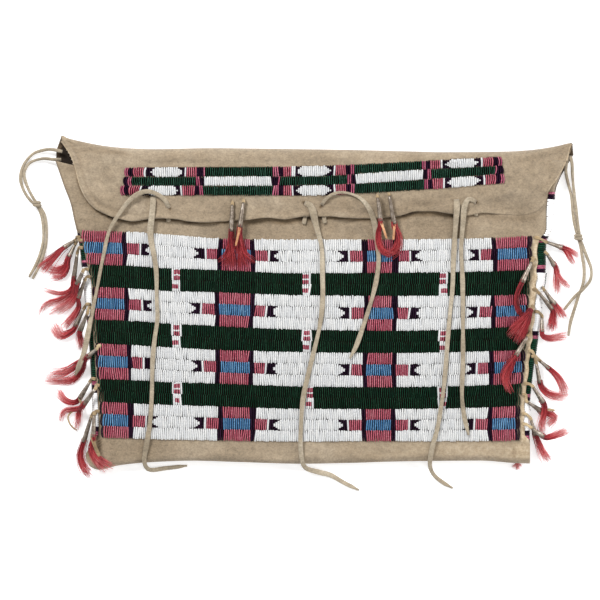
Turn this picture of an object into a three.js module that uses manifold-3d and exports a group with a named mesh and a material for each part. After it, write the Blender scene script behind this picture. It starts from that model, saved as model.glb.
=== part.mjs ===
// Possibles bag: a flat hide pouch with a fold-over flap, bead lanes on the front, the flap and the
// side gussets, tin-cone and horsehair tassels along both sides, three lacing ties and two hangers.
// The bag lies on its back. Millimetres, +X to the bag's right, +Y to its top fold, +Z up, floor at z = 0.
import * as THREE from 'three';
import { mergeVertices } from 'three/addons/utils/BufferGeometryUtils.js';
import Module from 'manifold-3d';

const wasm = await Module();
wasm.setup();

// ---- driving dimensions ------------------------------------------------------------------------
const U = 1.07; // mm for one unit of the layout tables below (x to the right, y downwards)
const CX = 309.6; // layout point that lies over the origin
const CY = 305.5;
const HIDE = 2.2; // hide thickness
const BOTTOM_R = 7; // outer radius of the bottom fold
const FOLD_R = 10.3; // outer radius of the top fold
const FOLD_LINE = 149.5; // layout y of the straight part of the top fold
const SIDE_Z = 14; // height of the front along its side seams
const CROWN = 11; // how far the middle of the front stands above its sides
const FLAP_GAP = 4; // room between the front hide and the flap
const BEAD = 2; // height of the bead lanes on the front
const LANE = 1.6; // height of the bead lanes on the flap and the gussets
const BEAD_GAP = 0.6; // between hide and bead lanes
const GUSSET = 1.8; // gusset hide thickness
const TIE_W = 5; // tie thong width
const TIE_T = 1.8; // tie thong thickness
const HANGER_D = 3.3; // hanger thong diameter
const THONG_R = 0.8; // tassel thong radius
const CONE_TOP = [1.15, 1.55]; // tin cone, inner and outer radius at its narrow end
const CONE_MOUTH = [2.35, 2.75]; // and at its mouth
const CLEAR = 0.5; // room left between pieces that lie on one another

// ---- layout tables -----------------------------------------------------------------------------
const BACK_TOP = [[60, 136], [70, 141], [82, 144.5], [100, 148], [115, 149.5], [530, 149.5], [550, 148], [572, 145]];
const MOUTH = [[54, 160.5], [73, 165], [110, 170], [500, 170], [545, 165], [552, 161]];
const BOTTOM = [[96, 469], [117, 465.8], [142, 463], [191, 461.5], [300, 464], [395, 462], [480, 461.5], [518, 463.5], [530, 463.5]];
const FRONT_L = [[160, 56.5], [184.7, 63.6], [205.4, 71.2], [223, 75], [231, 79.5], [262, 86.5], [286, 92.5], [318, 93], [343, 95], [378, 97], [400, 99], [437, 101], [463, 97.5]];
const FRONT_R = [[160, 551], [192, 548], [200, 546.7], [213, 545.5], [225, 544], [233, 542.3], [245, 539.5], [260, 537.8], [300, 536], [330, 533], [365, 529], [405, 525], [437, 524], [450, 527], [463, 528.5]];
const BACK_L = [[136, 61], [143, 58], [147, 56], [158, 55], [184, 61], [205, 68.5], [223, 72.5], [231, 75], [245, 78], [263, 80.5], [295, 84], [350, 88], [385, 90], [410, 91], [445, 86], [456, 85], [466, 92]];
const BACK_R = [[145, 573], [159, 574], [168, 566], [176, 562], [191, 557], [222, 556], [242, 550.5], [256, 548.5], [272, 547.5], [290, 546], [300, 544.5], [345, 540], [370, 536], [390, 534], [405, 532.5], [430, 532], [463, 530.5]];
const FLAP_LOW = [[73, 160], [75, 165], [77, 179], [83.5, 195], [94, 208], [106, 214.5], [117, 218.4], [134, 221.5], [148, 219.6], [163, 218.7], [177, 219.6], [191, 223], [206, 224], [220, 223], [244, 221.5], [268, 218], [284, 219.6], [306, 216.7], [330, 216.7], [345, 219], [360, 219.6], [379, 218.7], [398, 216.3], [417, 211.5], [432, 211.5], [446, 213.4], [465, 215.8], [484, 213], [503, 214.5], [520, 215.4], [535, 211], [545, 203], [548, 192], [557.9, 177.3], [565, 163]];
const PANEL_L = [[230, 81], [262, 88], [286, 94], [318, 94.5], [343, 96.6], [378.5, 98.5], [400.5, 101.4], [438, 105]];
const PANEL_R = [[236, 531.5], [255, 531], [300, 528], [330, 526], [365, 523], [405, 519], [441, 519]];
const PANEL_TOP = [[81, 230.5], [132, 232], [172, 235], [217, 238.5], [300, 239.7], [396, 239.5], [491, 238], [531.5, 236]];
const PANEL_BOT = [[105, 437], [132, 438.4], [172, 439.5], [217, 440.3], [300, 441.3], [396, 441], [491, 441], [519, 439.8]];
const LANES_TOP = [[121, 168], [300, 166.5], [421, 161.3], [504, 155.5]];
const LANES_BOT = [[121, 195.5], [300, 195.7], [421, 190], [504, 183.3]];
const LANES_X = [122.5, 503];

// ---- small helpers -----------------------------------------------------------------------------
const X = (x) => (x - CX) * U;
const Y = (y) => (CY - y) * U;
const lerp = (a, b, t) => a + (b - a) * t;
const clamp = (v, lo, hi) => Math.min(hi, Math.max(lo, v));
const smooth = (a, b, v) => {
  const t = clamp((v - a) / (b - a), 0, 1);
  return t * t * (3 - 2 * t);
};
function at(table, k) {
  if (k <= table[0][0]) return table[0][1];
  for (let i = 1; i < table.length; i++) {
    if (k <= table[i][0]) {
      const [a, b] = [table[i - 1], table[i]];
      return lerp(a[1], b[1], (k - a[0]) / (b[0] - a[0]));
    }
  }
  return table[table.length - 1][1];
}

// Height of the front hide's outer face over a layout point.
function frontZ(x, y) {
  const u = clamp((x - at(FRONT_L, y)) / (at(FRONT_R, y) - at(FRONT_L, y)), 0, 1);
  const low = at(BOTTOM, x) - BOTTOM_R / U;
  const v = clamp((low - y) / (low - at(MOUTH, x)), 0, 1);
  const across = 1 - Math.abs(2 * u - 1) ** 2.5;
  const along = smooth(0, 0.45, v) * (1 - 0.8 * smooth(0.5, 1, v));
  return SIDE_Z + CROWN * across * along;
}
// Height of the flap's outer face behind the fold's top line.
function flapZ(x, y) {
  const away = Y(FOLD_LINE) - FOLD_R - Y(y);
  return lerp(2 * FOLD_R, frontZ(x, y) + FLAP_GAP + HIDE, smooth(0, 28, away));
}
// Highest hide or bead surface over a layout point.
function ground(x, y) {
  if (x > 66 && x < 571 && y > FOLD_LINE && y < at(FLAP_LOW, x) + 1.3) {
    const beaded = x > LANES_X[0] - 2 && x < LANES_X[1] + 2 && y > at(LANES_TOP, x) - 1 && y < at(LANES_BOT, x) + 1;
    return flapZ(x, y) + (beaded ? BEAD_GAP + LANE : 0);
  }
  const bottom = at(BOTTOM, x);
  if (y > bottom || y < 136) return 0;
  const [fl, fr, bl, br] = [at(FRONT_L, y), at(FRONT_R, y), at(BACK_L, y), at(BACK_R, y)];
  if (x >= fl && x <= fr && y > at(MOUTH, x)) {
    const rise = (bottom - y) * U;
    if (rise < BOTTOM_R) return BOTTOM_R + Math.sqrt(BOTTOM_R ** 2 - (BOTTOM_R - rise) ** 2);
    const beaded = x > at(PANEL_L, y) - 1 && x < at(PANEL_R, y) + 1 && y > at(PANEL_TOP, x) - 1 && y < at(PANEL_BOT, x) + 1;
    return frontZ(x, y) + (beaded ? BEAD_GAP + BEAD : 0);
  }
  if (x < bl - 4.5 || x > br + 4.5) return 0;
  const slope = (out, wide) => lerp(16.8, 6.4, clamp((out * U - 4) / Math.max(1, wide * U - 1.2), 0, 1));
  if (x < fl) return slope(fl - x, fl - bl);
  if (x > fr) return slope(x - fr, br - fr);
  return FOLD_R;
}

// ---- solids ------------------------------------------------------------------------------------
function closed(geometry) {
  geometry.deleteAttribute('normal');
  geometry.deleteAttribute('uv');
  const g = mergeVertices(geometry, 1e-4);
  const p = g.attributes.position.array;
  const t = Array.from(g.index.array);
  let volume = 0;
  for (let i = 0; i < t.length; i += 3) {
    const [a, b, c] = [t[i] * 3, t[i + 1] * 3, t[i + 2] * 3];
    volume += p[a] * (p[b + 1] * p[c + 2] - p[b + 2] * p[c + 1]) - p[a + 1] * (p[b] * p[c + 2] - p[b + 2] * p[c]) + p[a + 2] * (p[b] * p[c + 1] - p[b + 1] * p[c]);
  }
  if (volume < 0) for (let i = 0; i < t.length; i += 3) [t[i], t[i + 1]] = [t[i + 1], t[i]];
  g.setIndex(t);
  g.computeVertexNormals();
  return g;
}
const toManifold = (g) => new wasm.Manifold(new wasm.Mesh({ numProp: 3, vertProperties: new Float32Array(g.attributes.position.array), triVerts: new Uint32Array(g.index.array) }));
function fromManifold(m) {
  const mesh = m.getMesh();
  const g = new THREE.BufferGeometry();
  const points = new Float32Array((mesh.vertProperties.length / mesh.numProp) * 3);
  for (let i = 0; i < points.length / 3; i++) for (let k = 0; k < 3; k++) points[i * 3 + k] = mesh.vertProperties[i * mesh.numProp + k];
  g.setAttribute('position', new THREE.BufferAttribute(points, 3));
  g.setIndex(Array.from(mesh.triVerts));
  g.computeVertexNormals();
  return g;
}
// A sheet of even thickness: a finely divided box bent over the surface P(u, v), from "low" to "high" along its normal.
function slab(nu, nv, P, low, high) {
  const g = new THREE.BoxGeometry(1, 1, 1, nu, nv, 1);
  const p = g.attributes.position;
  const e = 1e-3;
  for (let i = 0; i < p.count; i++) {
    const u = p.getX(i) + 0.5;
    const v = p.getY(i) + 0.5;
    const base = P(u, v);
    const du = P(Math.min(1, u + e), v).sub(P(Math.max(0, u - e), v));
    const dv = P(u, Math.min(1, v + e)).sub(P(u, Math.max(0, v - e)));
    const n = du.cross(dv).normalize();
    base.addScaledVector(n, p.getZ(i) > 0 ? high : low);
    p.setXYZ(i, base.x, base.y, base.z);
  }
  return closed(g);
}
// A route through given points, one ring of the swept section at each, with the section kept upright.
class Route extends THREE.Curve {
  constructor(points) {
    super();
    this.points = points;
  }
  getPoint(t, target = new THREE.Vector3()) {
    const k = clamp(t, 0, 1) * (this.points.length - 1);
    const i = Math.min(Math.floor(k), this.points.length - 2);
    return target.copy(this.points[i]).lerp(this.points[i + 1], k - i);
  }
  getPointAt(t, target) {
    return this.getPoint(t, target);
  }
  computeFrenetFrames(steps) {
    const frames = { tangents: [], normals: [], binormals: [] };
    for (let i = 0; i <= steps; i++) {
      const a = this.points[Math.max(0, i - 1)];
      const b = this.points[Math.min(steps, i + 1)];
      const t = b.clone().sub(a).normalize();
      const side = t.clone().cross(new THREE.Vector3(0, 0, 1)).normalize();
      const up = side.clone().cross(t).normalize();
      frames.tangents.push(t);
      frames.normals.push(up);
      frames.binormals.push(side);
    }
    return frames;
  }
}
function sweep(points, height, width) {
  const [h, w] = [height / 2, width / 2];
  const k = Math.min(h, w) * 0.55;
  const section = new THREE.Shape([[h, -w + k], [h, w - k], [h - k, w], [-h + k, w], [-h, w - k], [-h, -w + k], [-h + k, -w], [h - k, -w]].map(([a, b]) => new THREE.Vector2(a, b)));
  return closed(new THREE.ExtrudeGeometry(section, { steps: points.length - 1, extrudePath: new Route(points) }));
}
// A round strand whose radius changes along its route.
function strand(points, radii, sides) {
  const frames = new Route(points).computeFrenetFrames(points.length - 1);
  const position = [];
  const index = [];
  points.forEach((c, i) => {
    for (let k = 0; k < sides; k++) {
      const a = (2 * Math.PI * k) / sides;
      const q = c.clone().addScaledVector(frames.normals[i], radii[i] * Math.cos(a)).addScaledVector(frames.binormals[i], radii[i] * Math.sin(a));
      position.push(q.x, q.y, q.z);
    }
  });
  for (let i = 0; i < points.length - 1; i++) {
    for (let k = 0; k < sides; k++) {
      const [a, b] = [i * sides + k, i * sides + ((k + 1) % sides)];
      index.push(a, b, a + sides, b, b + sides, a + sides);
    }
  }
  const last = (points.length - 1) * sides;
  for (let k = 1; k < sides - 1; k++) index.push(0, k + 1, k, last, last + k, last + k + 1);
  const g = new THREE.BufferGeometry();
  g.setAttribute('position', new THREE.BufferAttribute(new Float32Array(position), 3));
  g.setIndex(index);
  return closed(g);
}
// Points along a layout polyline, smoothed, at the given distances (mm), lying on what is under them.
function laid(layout, distances, half, thick, lift) {
  const plan = new THREE.CatmullRomCurve3(layout.map(([x, y]) => new THREE.Vector3(x, y, 0)), false, 'centripetal');
  plan.arcLengthDivisions = 600;
  const total = plan.getLength() * U;
  const stops = distances(total).map((s) => clamp(s / total, 0, 1));
  const flat = stops.map((t) => plan.getPointAt(t));
  const least = flat.map((p, i) => {
    const t = plan.getTangentAt(stops[i]);
    let z = 0;
    for (const a of [-3.5, -1.5, 0, 1.5, 3.5]) for (const b of [-half, 0, half]) z = Math.max(z, ground(p.x + (t.x * a - t.y * b) / U, p.y + (t.y * a + t.x * b) / U));
    return z + thick / 2 + CLEAR + 0.2 + lift(p.x, p.y);
  });
  let z = least.slice();
  for (let round = 0; round < 5; round++) z = z.map((v, i) => (i === 0 || i === z.length - 1 ? v : Math.max(least[i], (z[i - 1] + 2 * v + z[i + 1]) / 4)));
  return flat.map((p, i) => new THREE.Vector3(X(p.x), Y(p.y), z[i]));
}

// ---- finishes ----------------------------------------------------------------------------------
const finish = (color, roughness, metalness = 0) => new THREE.MeshStandardMaterial({ color, roughness, metalness });
const hide = finish(0xb5a488, 0.95);
const beads = finish(0xe6e6e2, 0.35);
const laneBeads = finish(0x14402a, 0.35);
const thong = finish(0xb09a74, 0.9);
const tin = finish(0x968c80, 0.45, 0.9);
const hair = finish(0xc8484c, 0.7);
const bag = new THREE.Group();
function add(name, geometry, material) {
  const mesh = new THREE.Mesh(geometry, material);
  mesh.name = name;
  bag.add(mesh);
}

// ---- body hide: front, bottom fold, back and the lower half of the top fold, one sheet -----------
const FRONT_ROWS = 14;
const TURN_ROWS = 4;
const BACK_ROWS = 4;
const LIP_ROWS = 3;
const ROWS = FRONT_ROWS + TURN_ROWS + BACK_ROWS + LIP_ROWS;
function bodyHide(u, v) {
  let k = v * ROWS;
  const mix = (l, r) => lerp(l, r, u);
  if (k <= FRONT_ROWS) {
    let x = mix(80, 535);
    let y = 300;
    for (let i = 0; i < 4; i++) {
      y = lerp(at(MOUTH, x), at(BOTTOM, x) - BOTTOM_R / U, k / FRONT_ROWS);
      x = mix(at(FRONT_L, y), at(FRONT_R, y));
    }
    return new THREE.Vector3(X(x), Y(y), frontZ(x, y));
  }
  k -= FRONT_ROWS;
  const foot = mix(at(FRONT_L, 463), at(FRONT_R, 463));
  const heel = mix(at(BACK_L, 463), at(BACK_R, 463));
  if (k <= TURN_ROWS) {
    const a = Math.PI / 2 - (Math.PI * k) / TURN_ROWS;
    const x = lerp(foot, heel, k / TURN_ROWS);
    return new THREE.Vector3(X(x), Y(at(BOTTOM, foot)) + BOTTOM_R - BOTTOM_R * Math.cos(a), BOTTOM_R + BOTTOM_R * Math.sin(a));
  }
  k -= TURN_ROWS;
  const top = (x) => at(BACK_TOP, x) + FOLD_R / U;
  if (k <= BACK_ROWS) {
    let x = heel;
    let y = 300;
    for (let i = 0; i < 4; i++) {
      y = lerp(at(BOTTOM, foot) - BOTTOM_R / U, top(x), k / BACK_ROWS);
      x = mix(at(BACK_L, y), at(BACK_R, y));
    }
    return new THREE.Vector3(X(x), Y(y), 0);
  }
  k -= BACK_ROWS;
  const a = -Math.PI / 2 + (Math.PI / 2) * (k / LIP_ROWS) * 0.985;
  let x = mix(60, 573);
  for (let i = 0; i < 4; i++) x = mix(at(BACK_L, top(x) - (FOLD_R / U) * Math.cos(a)), at(BACK_R, top(x) - (FOLD_R / U) * Math.cos(a)));
  // The lip stands up along the straight part of the fold; the two corners beyond it lie flat.
  const stand = smooth(100, 125, x) * (1 - smooth(522, 546, x));
  return new THREE.Vector3(X(x), Y(top(x)) + FOLD_R * Math.cos(a), stand * FOLD_R * (1 + Math.sin(a)));
}
add('body_hide', slab(14, ROWS, bodyHide, 0, HIDE), hide);

// ---- gussets and their bead lanes --------------------------------------------------------------
function gusset(front, back, side, y0, y1, u0, u1) {
  return (u, v) => {
    const y = lerp(y1, y0, v);
    const k = lerp(u0, u1, side > 0 ? u : 1 - u);
    const a = X(at(front, y)) + side * 1.1;
    const b = X(at(back, y)) - side * 0.6;
    return new THREE.Vector3(lerp(a, b, k), Y(y), lerp(12.6, 2.7, k));
  };
}
add('gusset_left', slab(2, 14, gusset(FRONT_L, BACK_L, -1, 164, 455, 0, 1), 0, GUSSET), hide);
add('gusset_right', slab(2, 14, gusset(FRONT_R, BACK_R, 1, 164, 455, 0, 1), 0, GUSSET), hide);
add('gusset_beadwork_left', slab(2, 14, gusset(FRONT_L, BACK_L, -1, 240, 436, 0.06, 0.95), GUSSET + 0.8, GUSSET + 0.8 + LANE), laneBeads);
add('gusset_beadwork_right', slab(2, 14, gusset(FRONT_R, BACK_R, 1, 194, 439, 0.06, 0.95), GUSSET + 0.8, GUSSET + 0.8 + LANE), laneBeads);

// ---- front beadwork ----------------------------------------------------------------------------
function panel(u, v) {
  let x = lerp(95, 525, u);
  let y = 340;
  for (let i = 0; i < 4; i++) {
    y = lerp(at(PANEL_BOT, x), at(PANEL_TOP, x), v);
    x = lerp(at(PANEL_L, y), at(PANEL_R, y), u);
  }
  return new THREE.Vector3(X(x), Y(y), frontZ(x, y));
}
add('front_beadwork', slab(14, 10, panel, BEAD_GAP, BEAD_GAP + BEAD), beads);

// ---- flap: upper half of the top fold and the part that lies over the mouth --------------------
const FLAP_X = [73, 76, 79, 84, 94, 106, 120, 148, 177, 206, 240, 275, 306, 340, 375, 417, 450, 484, 520, 536, 546, 553, 559, 565];
const CURL_ROWS = 3;
const FLAP_ROWS = 6;
function flapSheet(u, v) {
  const c = clamp(u, 0, 1) * (FLAP_X.length - 1);
  const i = Math.min(Math.floor(c), FLAP_X.length - 2);
  const x = lerp(FLAP_X[i], FLAP_X[i + 1], c - i);
  let k = v * (CURL_ROWS + FLAP_ROWS);
  const crest = Y(FOLD_LINE) - FOLD_R;
  if (k <= CURL_ROWS) {
    const a = lerp(0.03, Math.PI / 2, k / CURL_ROWS);
    return new THREE.Vector3(X(x), crest + FOLD_R * Math.cos(a), FOLD_R + FOLD_R * Math.sin(a));
  }
  k -= CURL_ROWS;
  const y = CY - lerp(crest, Math.min(crest - 1, Y(at(FLAP_LOW, x))), k / FLAP_ROWS) / U;
  return new THREE.Vector3(X(x), Y(y), flapZ(x, y));
}
let flap = toManifold(slab(FLAP_X.length - 1, CURL_ROWS + FLAP_ROWS, flapSheet, 0, HIDE));

// ---- ties: each one flat thong through two slits of the flap ------------------------------------
// a and b run from a slit to a free end; under is the stretch behind the flap from slit a to slit b.
const TIES = {
  tie_left: {
    a: [[169.3, 208], [163.6, 198.6], [151, 192], [141.6, 192.8], [131, 199.5], [119.6, 214], [110, 230], [103, 259], [97, 290], [92, 314], [84, 353], [79, 366], [74.6, 376]],
    b: [[149, 196.5], [153, 202], [152, 217], [149.5, 235], [151, 253], [156, 272], [157, 299], [157.8, 318], [155, 339], [153, 360], [152, 395], [150, 423.5], [146.4, 446.5], [144.4, 462], [148.3, 470], [166.5, 469.5], [187, 468]],
    under: [[173, 213], [179, 206], [173, 194], [159, 186], [147, 186], [144.6, 190.4]],
    lift: [(x, y) => 2.4 * (y < 215) + (y < 358 ? 5.5 * smooth(322, 342, y) + 4 * smooth(340, 352, y) : lerp(17, 4, smooth(359, 376, y))), () => 0],
  },
  tie_middle: {
    a: [[304.6, 203.4], [310, 210], [314, 219], [319, 245], [322, 272], [322.6, 299], [320, 324], [313.4, 353], [307.7, 376], [303, 399], [301, 425], [301, 452], [304.8, 467], [319, 472.5], [330.6, 475.5], [344, 483], [359, 490.5]],
    b: [[321.8, 206], [325.7, 199.5], [335, 192.8], [345, 192.8], [357, 197], [367, 206], [373.5, 220], [376.5, 245], [378.4, 259], [376.5, 278], [372.7, 295], [367, 314], [361, 332], [355.5, 347], [349.7, 358.4]],
    under: [[299.6, 197.3], [294, 203], [297, 211], [307, 213], [317, 212.5]],
    lift: [() => 0, () => 0],
  },
  tie_right: {
    a: [[455.7, 200.5], [456.6, 212], [455.5, 232], [453, 262.6], [452, 290], [450, 309], [447, 343], [445, 372], [441.6, 402], [437, 429], [432, 448], [430, 465.6], [434, 475], [443.5, 483], [453, 488.5]],
    b: [[475.5, 202], [468, 199], [463.8, 207], [462.5, 226], [460.7, 253], [462.6, 291], [462.6, 337], [462.6, 366], [461.7, 395], [463.6, 414], [468.4, 435]],
    under: [[455.1, 192.5], [462, 186], [476, 188], [485, 197], [483, 205]],
    lift: [() => 0, () => 0],
  },
};
const tieStops = (total) => {
  const s = [0, 2.4, 4.8, 8];
  const n = Math.round((total - 8) / 14);
  for (let i = 1; i <= n; i++) s.push(8 + ((total - 8) * i) / n);
  return s;
};
for (const [name, tie] of Object.entries(TIES)) {
  const ends = ['a', 'b'].map((k, i) => {
    const points = laid(tie[k], tieStops, TIE_W / 2 + 0.4, TIE_T, tie.lift[i]);
    const top = flapZ(tie[k][0][0], tie[k][0][1]);
    points[0].z = top - HIDE / 2;
    points[1].z = Math.min(points[1].z, top + 1.4);
    return points;
  });
  const slots = [tie.a[0], ...tie.under, tie.b[0]];
  const plan = new THREE.CatmullRomCurve3(slots.map(([x, y]) => new THREE.Vector3(x, y, 0)), false, 'centripetal');
  const total = plan.getLength() * U;
  const hidden = [2.6, 5.2];
  for (let s = 11; s < total - 9; s += 6) hidden.push(s);
  hidden.push(total - 5.2, total - 2.6);
  const below = hidden.map((s) => {
    const p = plan.getPointAt(s / total);
    const depth = Math.min(s, total - s) < 3 ? 3.3 : HIDE + 0.9 + TIE_T / 2;
    return new THREE.Vector3(X(p.x), Y(p.y), flapZ(p.x, p.y) - depth);
  });
  const route = [...ends[0].slice().reverse(), ...below, ...ends[1]];
  add(name, sweep(route, TIE_T, TIE_W), thong);
  const a = ends[0].length - 1;
  const b = a + below.length + 1;
  for (const i of [a, b]) flap = flap.subtract(toManifold(sweep(route.slice(i - 3, i + 4), TIE_T + 1, TIE_W + 1.2)));
}
add('flap_hide', fromManifold(flap), hide);

// ---- flap beadwork -----------------------------------------------------------------------------
add('flap_beadwork', slab(12, 2, (u, v) => {
  const x = lerp(LANES_X[0], LANES_X[1], u);
  const y = lerp(at(LANES_BOT, x), at(LANES_TOP, x), v);
  return new THREE.Vector3(X(x), Y(y), flapZ(x, Math.max(y, FOLD_LINE + FOLD_R / U)));
}, BEAD_GAP, BEAD_GAP + LANE), laneBeads);

// ---- hangers -----------------------------------------------------------------------------------
const HANGERS = {
  hanger_left: {
    strands: [
      [[53.5, 150], [48, 149.5], [40, 151], [32.5, 153.6], [23, 165], [20, 178], [23, 190], [30.6, 201], [37, 206], [41, 215], [43, 230], [42, 245], [36.4, 262.6], [28.5, 277]],
      [[52.5, 159.3], [42, 158.4], [28.7, 163], [23.5, 172.7], [25, 182], [32.5, 197.6], [37, 205], [43.5, 214], [46, 230], [45, 246], [39.5, 264], [32, 279]],
    ],
    knot: [36, 204],
  },
  hanger_right: {
    strands: [
      [[571.5, 165], [569, 173], [569.5, 182], [572, 196], [573.6, 213], [577, 232], [579.5, 239], [582.6, 255], [584.7, 269], [584, 282], [579.8, 294], [575, 309], [570.7, 324], [569, 336]],
      [[575.5, 164.5], [574, 175.6], [574.5, 192], [577, 213], [579.5, 232], [580, 239], [587.5, 257], [591.8, 269], [591, 279.6], [584.7, 288], [574, 298], [564.4, 310]],
    ],
    knot: [579, 237.5],
  },
};
const hangerStops = (total) => Array.from({ length: Math.round(total / 10) + 1 }, (_, i) => (total * i) / Math.round(total / 10));
for (const [name, h] of Object.entries(HANGERS)) {
  const [one, two] = h.strands.map((s, i) => {
    const points = laid(s, hangerStops, HANGER_D / 2, HANGER_D, () => i * 1.2);
    [7, 5.5, 3.5, 1.8].forEach((z, k) => (points[k].z = HANGER_D / 2 + 0.7 + z));
    for (let k = 4; k < points.length; k++) points[k].z = Math.min(points[k].z, HANGER_D / 2 + 0.7 + i * 1.2);
    return sweep(points, HANGER_D, HANGER_D);
  });
  const knot = new THREE.SphereGeometry(1, 12, 8);
  knot.scale(4.6, 4.2, 3.2);
  knot.translate(X(h.knot[0]), Y(h.knot[1]), 3.8);
  add(name, fromManifold(toManifold(one).add(toManifold(two)).add(toManifold(closed(knot)))), thong);
}

// ---- tassels: a thong laced through the seam, a tin cone over each end, a horsehair tuft in it ---
// s: where the thong leaves the seam, c: the cone's narrow end and mouth, h: the tuft's course, z: extra height, m: the mouth's height.
const TASSELS = {
  flap_1: [
    { s: [233.8, 199.5], c: [233, 203, 231.5, 231], h: [[229, 245], [226, 259], [225, 268]], z: 0 },
    { s: [243, 198.5], c: [244, 201.4, 239.6, 228], h: [[240.5, 243], [244, 257], [246, 266]], z: 0 },
  ],
  flap_2: [
    { s: [378, 194.5], c: [377.5, 198, 380.6, 221.5], h: [[380.5, 235], [382, 247], [386, 254]], z: 5 },
    { s: [388.5, 193], c: [389, 196, 394, 224.4], h: [[397, 238], [396, 249], [391.5, 256]], z: 1.5 },
  ],
  right_1: [{ s: [537, 237.5], c: [547.5, 242.5, 562, 247.4], h: [[569, 250.5], [577, 257]], z: 0 }],
  right_2: [
    { s: [538.5, 252], c: [546, 253, 554.6, 265], h: [[557, 277], [559.5, 291]], z: 0 },
    { s: [534, 258], c: [531.4, 262, 521.6, 282.5], h: [[518, 290], [517, 304], [521, 312]], z: 0 },
  ],
  right_3: [
    { s: [535.5, 289.5], c: [539, 293.7, 552, 308.5], h: [[553.5, 318], [554.6, 329.5]], z: 0 },
    { s: [539, 286], c: [545.4, 290, 555, 303], h: [[559.5, 309.5], [563.7, 317.5]], z: 5 },
  ],
  right_4: [
    { s: [534, 306], c: [531, 309, 521.5, 323], h: [[516, 331], [512, 340]], z: 0 },
    { s: [537, 311.5], c: [542, 317.7, 541.9, 332], h: [[549.6, 340], [565.8, 338]], z: 0 },
  ],
  right_5: [{ s: [530.5, 332], c: [527, 336.7, 515.3, 355.6], h: [[507, 367], [504.7, 381], [508, 390]], z: 0 }],
  right_6: [
    { s: [531.5, 351], c: [536.5, 364, 540, 383], h: [[547, 393.5], [556, 396.5], [566.5, 396.5]], z: 0 },
    { s: [534.5, 356], c: [541, 361.5, 549.6, 368.8], h: [[558, 377], [563, 386], [565, 391]], z: 3 },
  ],
  right_7: [
    { s: [527.5, 383.5], c: [532.8, 387, 543, 402], h: [[546.5, 410], [548, 420]], z: 7 },
    { s: [525.5, 394.5], c: [527.5, 402, 541, 411], h: [[545, 418], [542.5, 431]], z: 0 },
  ],
  right_8: [
    { s: [524.5, 413.5], c: [531, 420, 535.5, 435], h: [[538.5, 443], [542, 452], [547.4, 459.5]], z: 0 },
    { s: [525.5, 424], c: [531.5, 428, 543, 436.5], h: [[554, 436.5], [567, 431.4]], z: 9 },
  ],
  left_1: [
    { s: [77.5, 237], c: [74, 240.5, 63.5, 247.5], h: [[55, 255], [47, 262]], z: 0 },
    { s: [79.5, 240], c: [74.5, 244.5, 68.5, 257], h: [[63, 267], [56, 274.5], [49, 272]], z: 0 },
  ],
  left_2: [{ s: [80, 247.5], c: [77, 254, 73.4, 278.4], h: [[73, 290], [66, 298.5], [54, 303], [42, 309]], z: 0 }],
  left_3: [
    { s: [86, 269], c: [83.2, 272, 77.6, 284], h: [[74, 294], [65, 297], [52, 292]], z: 8 },
    { s: [87.5, 276.5], c: [85, 280.5, 78.3, 297.4], h: [[78, 306], [73, 315], [64, 325]], z: 0 },
  ],
  left_4: [
    { s: [87.5, 304], c: [83.5, 309, 75, 326.5], h: [[70, 332.5], [60, 336], [54.5, 327]], z: 0 },
    { s: [89.5, 307.5], c: [87.5, 314, 80.5, 330], h: [[79.5, 338], [80.5, 346]], z: 4.5 },
  ],
  left_5: [{ s: [98, 345.5], c: [96.5, 349, 87.5, 357], h: [[78.5, 363], [66, 371], [51, 375.5]], z: 0, m: 15.6 }],
  left_6: [
    { s: [92.5, 378.5], c: [89.6, 382, 79.5, 398.4], h: [[73, 403.5], [64, 401], [57, 393]], z: 0 },
    { s: [96.5, 385], c: [95.3, 389, 84.5, 404], h: [[80, 411], [70, 413], [61, 420]], z: 4 },
  ],
  left_7: [
    { s: [94, 412.5], c: [91, 417.4, 83.5, 442], h: [[80.5, 455], [83, 466], [89, 474]], z: 0 },
    { s: [96.5, 411], c: [94.6, 415, 93.5, 437], h: [[92, 449], [97, 461], [107, 471.5]], z: 4 },
  ],
};
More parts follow.
